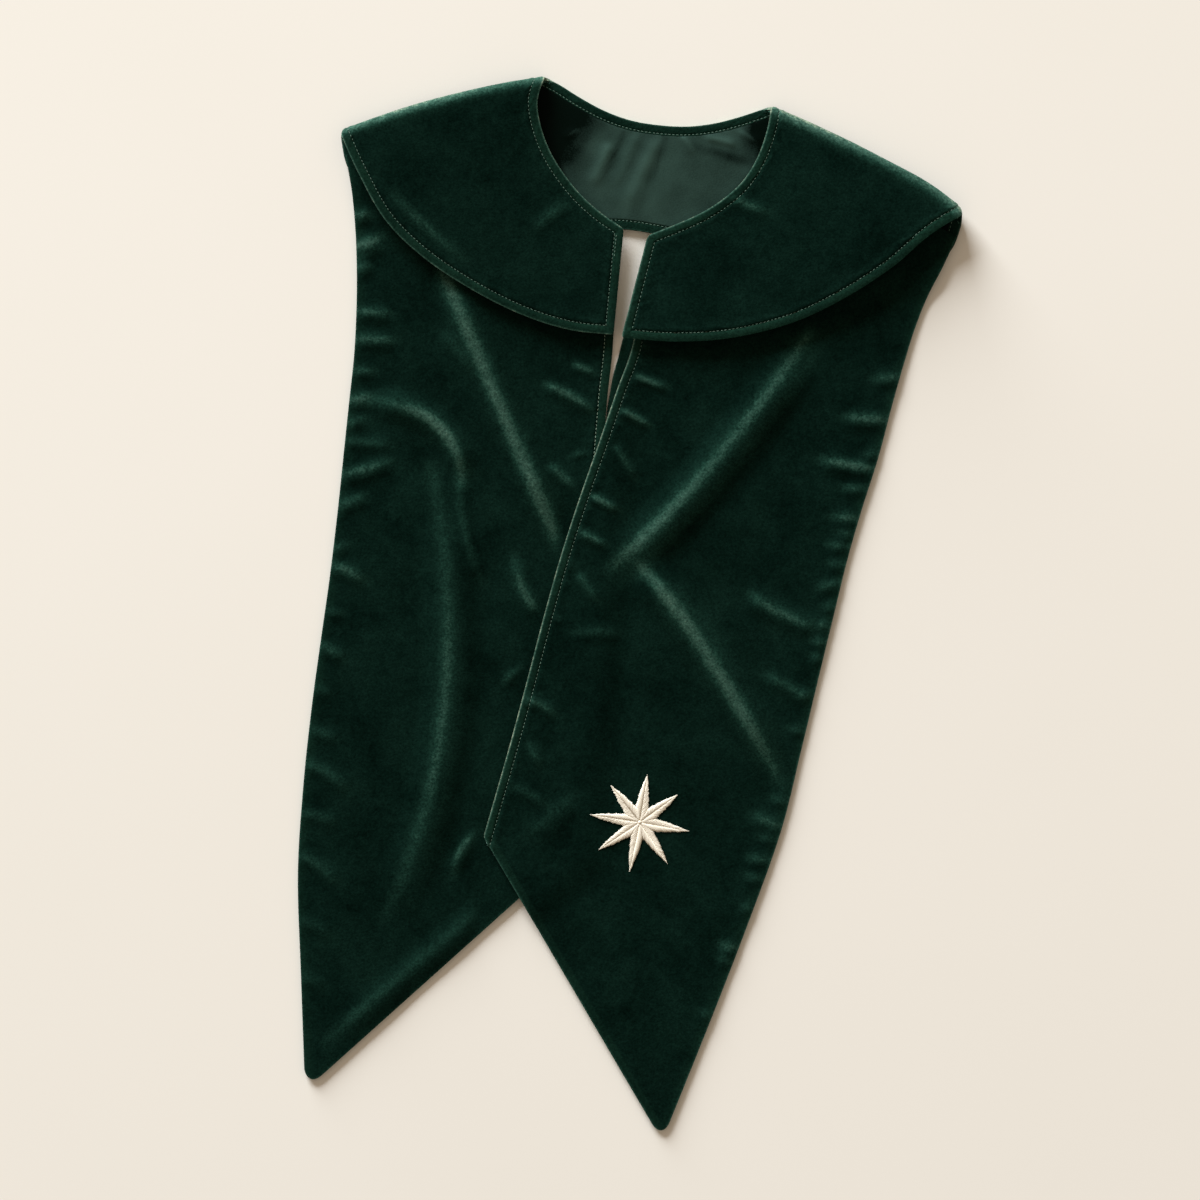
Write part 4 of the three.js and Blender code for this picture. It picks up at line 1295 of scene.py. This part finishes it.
shape = np.empty(len(padding.data.vertices) * 3)
padding.data.vertices.foreach_get("co", shape)
shape = shape.reshape(-1, 3)
turns = np.arctan2(shape[:, 1], shape[:, 0]) % (2 * math.pi)
spoke = RAY_ANGLE / 2
polygon_reach = math.cos(spoke / 2) / np.cos((turns % spoke) - spoke / 2)
share = np.clip(np.hypot(shape[:, 0], shape[:, 1]) / polygon_reach, 0, 1)
outline, heading = star_outline(turns)
reach = share * outline * PADDING_SHARE
xy = STAR_CENTRE + np.stack([np.cos(heading), np.sin(heading)], -1) * reach[:, None]
PADDING_CROWN = 1.3  # its height in the middle, in paddings; its rim is one padding lower
PADDING_GAP = 0.02  # between its underside and the velvet
lift = np.where(shape[:, 2] > 0.5, PADDING * (PADDING_CROWN - share), PADDING_GAP)
padding.data.vertices.foreach_set("co", (on_velvet(xy, lift) * MM).reshape(-1))
padding.data.update()
bpy.ops.object.shade_smooth()
print("reach of the padding:", reach.max().round(1), "mm")

# %% [markdown]
# A satin thread is a slim rod that arches over the padding. One rod is cut into short lengths so
# that it can bend, and every thread of the star is a copy with its own places, drawn from vein to
# edge. The ray's tip takes short threads and its root takes long ones.

# %% Threads
bpy.ops.object.select_all(action="DESELECT")
bpy.ops.mesh.primitive_cylinder_add(vertices=5, radius=1, depth=1, end_fill_type="NGON")
one_thread = bpy.context.object
one_thread.name = "one_thread"
bpy.ops.object.mode_set(mode="EDIT")
for cut in (-0.25, 0.0, 0.25):
    bpy.ops.mesh.select_all(action="SELECT")
    bpy.ops.mesh.bisect(plane_co=(0, 0, cut), plane_no=(0, 0, 1))
bpy.ops.object.mode_set(mode="OBJECT")
thread_template = template_of(one_thread)
along_thread = thread_template[0][:, 2] + 0.5
thread_girth = thread_template[0][:, :2]
print("corners of one thread:", len(along_thread))


# %% One thread's shape
THREAD_WANDER = 0.25  # of its outer end, in millimetres
VEIN_GAP = 0.15  # from the vein to a thread's start
NARROWEST, FULL_OVER = 0.45, 3  # short threads are thinner; a long one has its whole radius
THREAD_TAPER = 0.45  # share of its radius that a thread has lost at its ends
ARCH_START, ARCH_SPAN, ARCH_FULLNESS = 0.14, 0.8, 0.7  # the part of a sine that it arches along
ARCH_UNEVEN = 0.15
THREAD_FLATNESS = 0.7


def thread_shape(axis, side, start, end, half_width):
    """Places of one thread's points and their lift: from the vein to the edge, slightly arched."""
    wave = unevenness.uniform(-THREAD_WANDER, THREAD_WANDER)
    a = STAR_CENTRE + axis * start + side * min(VEIN_GAP, half_width)
    b = STAR_CENTRE + axis * (end + wave) + side * (half_width + wave * min(1, half_width))
    run = unit(b - a)
    across = np.array([-run[1], run[0]])
    narrow = min(1, NARROWEST + half_width / FULL_OVER)
    slim = THREAD_RADIUS * (1 - THREAD_TAPER * abs(2 * along_thread - 1) ** 3) * narrow
    arch = np.sin(np.pi * np.clip(ARCH_START + ARCH_SPAN * along_thread, 0, 1)) ** ARCH_FULLNESS
    height = THREAD_ARCH[1] * arch * unevenness.uniform(1 - ARCH_UNEVEN, 1 + ARCH_UNEVEN)
    lift = (THREAD_ARCH[0] + height) * narrow
    xy = mix(a, b, along_thread[:, None]) + across * (thread_girth[:, :1] * slim[:, None])
    return xy, lift + thread_girth[:, 1] * slim * THREAD_FLATNESS


print("highest a thread's middle can lie:", round(THREAD_ARCH[0] + THREAD_ARCH[1], 2), "mm up")

# %% All threads of the star
ROOT_GAP, TIP_GAP = 0.9, 0.3  # no thread starts nearer to the middle, or to a ray's tip
SLANT_LENGTH = 14  # threads nearer to the tip than this slant less
THREAD_INSET = 0.3
LEAST_THREAD = 0.05
shapes = []
for k, (_, ray_reach) in enumerate(RAYS):
    axis = np.array([math.cos(HEADINGS[k]), math.sin(HEADINGS[k])])
    for sign in (1, -1):
        side = sign * np.array([-axis[1], axis[0]])
        before = HEADINGS[k - 1] if k else HEADINGS[-2] - 2 * math.pi
        next_heading = HEADINGS[k + 1] if sign > 0 else before
        half_gap = abs(next_heading - HEADINGS[k]) / 2
        corner = STAR_VALLEY * np.array([math.cos(half_gap), math.sin(half_gap)])
        for start in np.arange(ROOT_GAP, ray_reach - TIP_GAP, THREAD_PITCH):
            end = start + THREAD_SLANT * min(1, (ray_reach - start) / SLANT_LENGTH)
            out = (end - corner[0]) / (ray_reach - corner[0])
            half_width = corner[1] * end / corner[0]
            if out > 0:
                half_width = corner[1] * (1 - out) + THREAD_BULGE * math.sin(math.pi * min(out, 1))
            half_width = max(half_width - THREAD_INSET, LEAST_THREAD)
            shapes.append(thread_shape(axis, side, start, end, half_width))
threads = on_velvet(*(np.array(part) for part in zip(*shapes)))
star = copies("satin_star", thread_template, threads)
print("threads:", len(threads), "faces:", len(star.data.polygons))

# %% A small knot where the rays meet
KNOT_LIFT = 0.5  # over the threads' roots
KNOT_FLATNESS = 0.5
knot_height = float(on_velvet(STAR_CENTRE[None], np.array([THREAD_ARCH[0] + KNOT_LIFT]))[0, 2])
bpy.ops.object.select_all(action="DESELECT")
knot_at = (*(STAR_CENTRE * MM), knot_height * MM)
bpy.ops.mesh.primitive_uv_sphere_add(
    segments=12, ring_count=8, radius=KNOT_RADIUS * MM, location=knot_at
)
knot = bpy.context.object
knot.name = "star_knot"
knot.scale = (1, 1, KNOT_FLATNESS)
bpy.ops.object.transform_apply(location=True, rotation=False, scale=True)
bpy.ops.object.shade_smooth()
print("knot at", round(knot_height, 2), "mm")

# %% [markdown]
# ## Materials
#
# Velvet is a forest of short fibres: seen along the fibres it is almost black. Its colour comes from
# two painted values: painted light, which holds the painted highlights and painted shade of its
# folds, edges and puckers, and where the stitched bands run. Slow crushed patches, streaks and the
# grain of single tufts break them up. One group holds that, and each velvet sets its own colours.

# %% Node helpers
def add_node(tree, kind, inputs=(), **settings):
    """A new node with its settings, and its inputs set to values or linked to sockets."""
    made = tree.nodes.new(kind)
    for name, value in settings.items():
        setattr(made, name, value)
    for name, value in dict(inputs).items():
        if isinstance(value, bpy.types.NodeSocket):
            tree.links.new(value, made.inputs[name])
        else:
            made.inputs[name].default_value = value
    return made


def calc(tree, operation, a, b=0.0):
    return add_node(tree, "ShaderNodeMath", {0: a, 1: b}, operation=operation).outputs[0]


def blend_colours(tree, share, a, b, blend_type="MIX"):
    inputs = {0: share, 6: a, 7: b}
    made = add_node(tree, "ShaderNodeMix", inputs, data_type="RGBA", blend_type=blend_type)
    return made.outputs[2]


def ramp_between(tree, value, low, high, to_low=0.0, to_high=1.0):
    """A value that goes from to_low to to_high while another goes from low to high."""
    inputs = {"Value": value, "From Min": low, "From Max": high}
    inputs.update({"To Min": to_low, "To Max": to_high})
    return add_node(tree, "ShaderNodeMapRange", inputs).outputs[0]


def noise(tree, place, scale, detail=2.0, roughness=0.5, distortion=0.0):
    inputs = {"Vector": place, "Scale": scale, "Detail": detail, "Roughness": roughness}
    return add_node(tree, "ShaderNodeTexNoise", {**inputs, "Distortion": distortion}).outputs["Fac"]


def weighted(tree, a, share_a, b, share_b):
    """The sum of two values, each with its weight."""
    return calc(tree, "ADD", calc(tree, "MULTIPLY", a, share_a), calc(tree, "MULTIPLY", b, share_b))


def new_group(name, inputs, outputs):
    """A new node group, what it is given, and where its results go."""
    group = bpy.data.node_groups.new(name, "ShaderNodeTree")
    for label, kind in inputs.items():
        group.interface.new_socket(label, in_out="INPUT", socket_type=kind)
    for label, kind in outputs.items():
        group.interface.new_socket(label, in_out="OUTPUT", socket_type=kind)
    source, sink = (group.nodes.new(f"NodeGroup{end}") for end in ("Input", "Output"))
    return group, source.outputs, sink.inputs


COLOUR, VALUE = "NodeSocketColor", "NodeSocketFloat"
FINISH = {"Colour": COLOUR, "Roughness": VALUE, "Height": VALUE}
print("each finish group puts out:", ", ".join(FINISH))

# %% Velvet pile: colours by its painted light
PATCHES = (26.0, 3.0, 0.55, 0.4)  # noise: scale per metre, detail, roughness, distortion
STREAKS = (170.0, 4.0, 0.6, 0.8)
TUFTS = (620.0, 3.0, 0.7)
DIM_HIGHLIGHT = (0.0, 0.45)  # painted light where the dim painted highlight begins, and where it is full
# painted light where the pale painted highlight begins, and where it is full
PALE = (0.3, 1.15)
pile, given, result = new_group(
    "velvet_pile",
    {"Painted Light": VALUE, "Edge Band": VALUE, "Deep": COLOUR, "Field": COLOUR, "Band": COLOUR,
     "Dim Highlight": COLOUR, "Pale": COLOUR},
    FINISH,
)
place = add_node(pile, "ShaderNodeTexCoord").outputs["Object"]
patches, streaks, tufts = (noise(pile, place, *kind) for kind in (PATCHES, STREAKS, TUFTS))
crushed = ramp_between(pile, weighted(pile, patches, 0.6, streaks, 0.4), 0.34, 0.68)
colour = blend_colours(pile, crushed, given["Deep"], given["Field"])
patchy = ramp_between(pile, patches, 0.35, 0.65, 0.45, 1.1)
band_share = calc(pile, "MULTIPLY", given["Edge Band"], patchy)
colour = blend_colours(pile, band_share, colour, given["Band"])
# painted highlight: the painted light broken up by streaks and tufts
painted_highlight = calc(pile, "MULTIPLY", given["Painted Light"], ramp_between(pile, streaks, 0.3, 0.7, 0.6, 1.2))
painted_highlight = calc(pile, "MULTIPLY", painted_highlight, ramp_between(pile, tufts, 0.3, 0.7, 0.75, 1.25))
painted_highlight = calc(pile, "MAXIMUM", painted_highlight, 0.0)
colour = blend_colours(pile, ramp_between(pile, painted_highlight, *DIM_HIGHLIGHT), colour, given["Dim Highlight"])
colour = blend_colours(pile, ramp_between(pile, painted_highlight, *PALE), colour, given["Pale"])
print("nodes so far:", len(pile.nodes))

# %% Velvet pile: painted glints, painted shade and the grain of its tufts
GLINT = {"Red": 5.2, "Green": 2.8, "Blue": 2.7}  # painted glint: the strongest painted highlight is made brighter and warmer
GLINTING = (1.15, 2.2)
glints = {name: ramp_between(pile, painted_highlight, *GLINTING, 1.0, most) for name, most in GLINT.items()}
glint_colour = add_node(pile, "ShaderNodeCombineColor", glints).outputs[0]
colour = blend_colours(pile, 1.0, colour, glint_colour, "MULTIPLY")
# painted shade: painted light below zero darkens towards the deep colour
painted_shade = calc(pile, "MAXIMUM", calc(pile, "MULTIPLY", given["Painted Light"], -1.0), 0.0)
colour = blend_colours(pile, painted_shade, colour, given["Deep"])
grain = dict.fromkeys(GLINT, ramp_between(pile, tufts, 0.3, 0.7, 0.6, 1.4))
grain_colour = add_node(pile, "ShaderNodeCombineColor", grain).outputs[0]
colour = blend_colours(pile, 1.0, colour, grain_colour, "MULTIPLY")
pile.links.new(colour, result["Colour"])
pile.links.new(ramp_between(pile, streaks, 0.3, 0.7, 0.82, 1.0), result["Roughness"])
pile.links.new(weighted(pile, tufts, 0.6, streaks, 0.4), result["Height"])
print("nodes in the pile group:", len(pile.nodes))


# %% A material around a finish group
def material_from(name, group, painted, values, bump_depth, constants):
    """Principled surface fed by a group, which reads painted values and its own plain ones."""
    material = bpy.data.materials.new(name)
    material.use_nodes = True
    tree = material.node_tree
    inputs = dict(values)
    for label, attribute in painted.items():
        reader = add_node(tree, "ShaderNodeAttribute", attribute_name=attribute)
        inputs[label] = reader.outputs["Fac"]
    finish = add_node(tree, "ShaderNodeGroup", inputs, node_tree=group).outputs
    surface = next(n for n in tree.nodes if n.type == "BSDF_PRINCIPLED")
    tree.links.new(finish["Colour"], surface.inputs["Base Color"])
    tree.links.new(finish["Roughness"], surface.inputs["Roughness"])
    bump = add_node(tree, "ShaderNodeBump", {"Height": finish["Height"], "Distance": bump_depth})
    tree.links.new(bump.outputs[0], surface.inputs["Normal"])
    for label, value in constants.items():
        surface.inputs[label].default_value = value
    print(f"{name}: {len(tree.nodes)} nodes around the group")
    return material


# %% Bottle-green velvet
VELVET_BUMP = 0.0004
# the last two colours are those of the painted highlights; the deep colour is also the painted shade
VELVET_COLOURS = {
    "Deep": (0.0012, 0.0054, 0.0037, 1),
    "Field": (0.0038, 0.0145, 0.0100, 1),
    "Band": (0.0058, 0.0210, 0.0132, 1),
    "Dim Highlight": (0.0092, 0.0320, 0.0220, 1),
    "Pale": (0.0370, 0.0820, 0.0600, 1),
}
VELVET_SURFACE = {
    "Sheen Weight": 0.35,
    "Sheen Roughness": 0.26,
    "Sheen Tint": (0.40, 0.68, 0.55, 1),
    "Specular IOR Level": 0.0,
}
PAINTED = {"Painted Light": "brushed", "Edge Band": "edge_band"}
cape_velvet = material_from(
    "bottle_green_velvet", pile, PAINTED, VELVET_COLOURS, VELVET_BUMP, VELVET_SURFACE
)

# %% [markdown]
# The lining is sateen: long floating threads with a soft, smooth gloss. Its folds are lit by the
# sheets' own relief; the material adds their painted light and painted shade, and a fine weave.

# %% Fine thread, woven or sewn
CLOUD_SCALE = 40.0
CLOUD_SHADE, YARN_SHADE, LEAST_SHADE, PAINTED_LIGHT_SHARE = 0.5, 0.3, 0.22, 0.55
weave, given, result = new_group(
    "fine_thread", {"Base": COLOUR, "Shade": COLOUR, "Painted Fold Light": VALUE, "Scale": VALUE}, FINISH
)
place = add_node(weave, "ShaderNodeTexCoord").outputs["Object"]
yarn = noise(weave, place, given["Scale"], 2.0, 0.55)
cloudy = noise(weave, place, CLOUD_SCALE, 2.0, 0.5)
shade = weighted(weave, cloudy, CLOUD_SHADE, yarn, YARN_SHADE)
shade = calc(weave, "ADD", shade, LEAST_SHADE)
# painted light and painted shade of the lining's folds, read from the sheet
turned = calc(weave, "MULTIPLY", given["Painted Fold Light"], PAINTED_LIGHT_SHARE)
shade = calc(weave, "SUBTRACT", shade, turned)
shade = add_node(weave, "ShaderNodeClamp", {"Value": shade}).outputs[0]
weave.links.new(blend_colours(weave, shade, given["Base"], given["Shade"]), result["Colour"])
weave.links.new(ramp_between(weave, yarn, 0.3, 0.7, 0.4, 0.52), result["Roughness"])
weave.links.new(yarn, result["Height"])
print("nodes in the thread group:", len(weave.nodes))


# %% Sateen and threads
def thread_material(name, base, shade, scale, bump_depth, gloss, painted=(), sheen=0.0):
    """Fine thread of two colours; the scale is of its fibres, and the depth is of their relief."""
    values = {"Base": (*base, 1), "Shade": (*shade, 1), "Scale": scale}
    constants = {"Specular IOR Level": gloss, "Sheen Weight": sheen}
    return material_from(name, weave, dict(painted), values, bump_depth, constants)


sateen = thread_material(
    "grey_green_sateen", (0.050, 0.101, 0.081), (0.0004, 0.0030, 0.0018), 1100.0, 0.00008, 0.03,
    painted={"Painted Fold Light": "brushed"},
)
green_thread = thread_material(
    "green_topstitch_thread", (0.125, 0.21, 0.155), (0.048, 0.098, 0.07), 2600.0, 0.00015, 0.2,
    sheen=0.1,
)
pale_green_thread = thread_material(
    "pale_topstitch_thread", (0.28, 0.38, 0.29), (0.13, 0.205, 0.148), 2600.0, 0.00015, 0.2
)
ivory_thread = thread_material(
    "ivory_satin_thread", (0.90, 0.835, 0.72), (0.72, 0.64, 0.51), 1500.0, 0.00012, 0.15
)

# %% [markdown]
# ## What each piece stands for
#
# Every sheet rides on the collar's one body, replaces its solid and takes the material made for it
# above.

# %% Materials and solids of the pieces
DRESSED = [
    # piece, material, slot, solids that it replaces
    (cape, cape_velvet, "velvet", ["cape_collar"]),
    (lining, sateen, "sateen", ["collar_lining"]),
    (neck_facing, cape_velvet, "velvet", ["neck_facing"]),
    (hem_facing, cape_velvet, "velvet", ["hem_facing"]),
    (left_panel, cape_velvet, "velvet", ["left_panel"]),
    (right_panel, cape_velvet, "velvet", ["right_panel"]),
    (strip, cape_velvet, "velvet", []),
    (cape_stitches, green_thread, "velvet", []),
    (facing_stitches, green_thread, "velvet", []),
    (hem_facing_stitches, green_thread, "velvet", []),
    (left_stitches, pale_green_thread, "velvet", []),
    (right_stitches, green_thread, "velvet", []),
    (padding, ivory_thread, "star_thread", []),
    (star, ivory_thread, "star_thread", ["embroidered_star"]),
    (knot, ivory_thread, "star_thread", []),
]
for piece, material, slot, solids in DRESSED:
    piece.data.materials.clear()
    piece.data.materials.append(material)
    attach(piece, "root")
    if solids:
        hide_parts(*solids)
print("pieces:", [piece.name for piece, *_ in DRESSED])

# %% The sheets of cloth
print("sheets of velvet and sateen: 7")

# %% [markdown]
# ## Table, light and camera
#
# The collar is photographed from straight above on a pale cream table, with one large soft window
# low at the upper left and plain bright surroundings. A low window draws the shadow out to the
# lower right and lights the folds from the side. A long lens from far up keeps the outline true.

# %% Table
FLOOR_DROP = 0.0002  # metres, so that the table and the cloth never share a plane
TABLE_SIZE = 8
TABLE_CLOUDS = (3.0, 2.0, 0.5)
CREAM = (0.805, 0.762, 0.692, 1), (0.815, 0.772, 0.705, 1)
bpy.ops.object.select_all(action="DESELECT")
bpy.ops.mesh.primitive_plane_add(size=TABLE_SIZE, location=(0, 0, -FLOOR_DROP))
table = bpy.context.object
table.name = "table"
bpy.ops.object.transform_apply(location=True, rotation=False, scale=False)
table_finish = bpy.data.materials.new("cream_table")
table_finish.use_nodes = True
tree = table_finish.node_tree
surface = next(n for n in tree.nodes if n.type == "BSDF_PRINCIPLED")
place = add_node(tree, "ShaderNodeTexCoord").outputs["Object"]
cloudy = noise(tree, place, *TABLE_CLOUDS)
cream = blend_colours(tree, ramp_between(tree, cloudy, 0.3, 0.7), *CREAM)
tree.links.new(cream, surface.inputs["Base Color"])
tree.links.new(ramp_between(tree, cloudy, 0.3, 0.7, 0.82, 0.9), surface.inputs["Roughness"])
surface.inputs["Specular IOR Level"].default_value = 0.1
table.data.materials.append(table_finish)
print("table:", tuple(table.dimensions)[:2], "m")

# %% Light
WINDOW_DISTANCE = 14.0
WINDOW_HEADING = math.radians(116)
WINDOW_RISE = math.radians(15)
WINDOW_SIZE = 8.0
WINDOW_POWER = 6300.0
window = bpy.data.lights.new("window", "AREA")
window.shape = "SQUARE"
window.size = WINDOW_SIZE
window.energy = WINDOW_POWER
window.color = (0.894, 0.950, 1.0)
window_object = bpy.data.objects.new("window", window)
bpy.context.collection.objects.link(window_object)
flat_reach = WINDOW_DISTANCE * math.cos(WINDOW_RISE)
window_object.location = (
    flat_reach * math.cos(WINDOW_HEADING),
    flat_reach * math.sin(WINDOW_HEADING),
    WINDOW_DISTANCE * math.sin(WINDOW_RISE),
)
window_object.rotation_euler = (math.pi / 2 - WINDOW_RISE, 0, WINDOW_HEADING + math.pi / 2)
print("window at:", [round(x, 2) for x in window_object.location], "m")

# %% Surroundings
room = bpy.data.worlds.new("room")
room.use_nodes = True
sky = next(n for n in room.node_tree.nodes if n.type == "BACKGROUND")
sky.inputs["Color"].default_value = (1.0, 0.835, 0.655, 1)
sky.inputs["Strength"].default_value = 0.40
bpy.context.scene.world = room
bpy.context.scene.view_settings.view_transform = "Standard"
print("surroundings at strength", round(sky.inputs["Strength"].default_value, 2))

# %% Camera
FRAME_WIDTH = 0.84  # metres of table across the picture
CAMERA_HEIGHT = 5.6
CAMERA_AT = (-0.021, 0.0021)  # over this place of the table
SENSOR = 36.0
lens = bpy.data.cameras.new("above")
lens.sensor_width = SENSOR
lens.lens = SENSOR * CAMERA_HEIGHT / FRAME_WIDTH
lens.clip_end = 50.0
camera = bpy.data.objects.new("above", lens)
camera.location = (*CAMERA_AT, CAMERA_HEIGHT)
bpy.context.collection.objects.link(camera)
bpy.context.scene.camera = camera
print("lens:", round(lens.lens), "mm")

# %% Bring the scene up to date
bpy.context.view_layer.update()
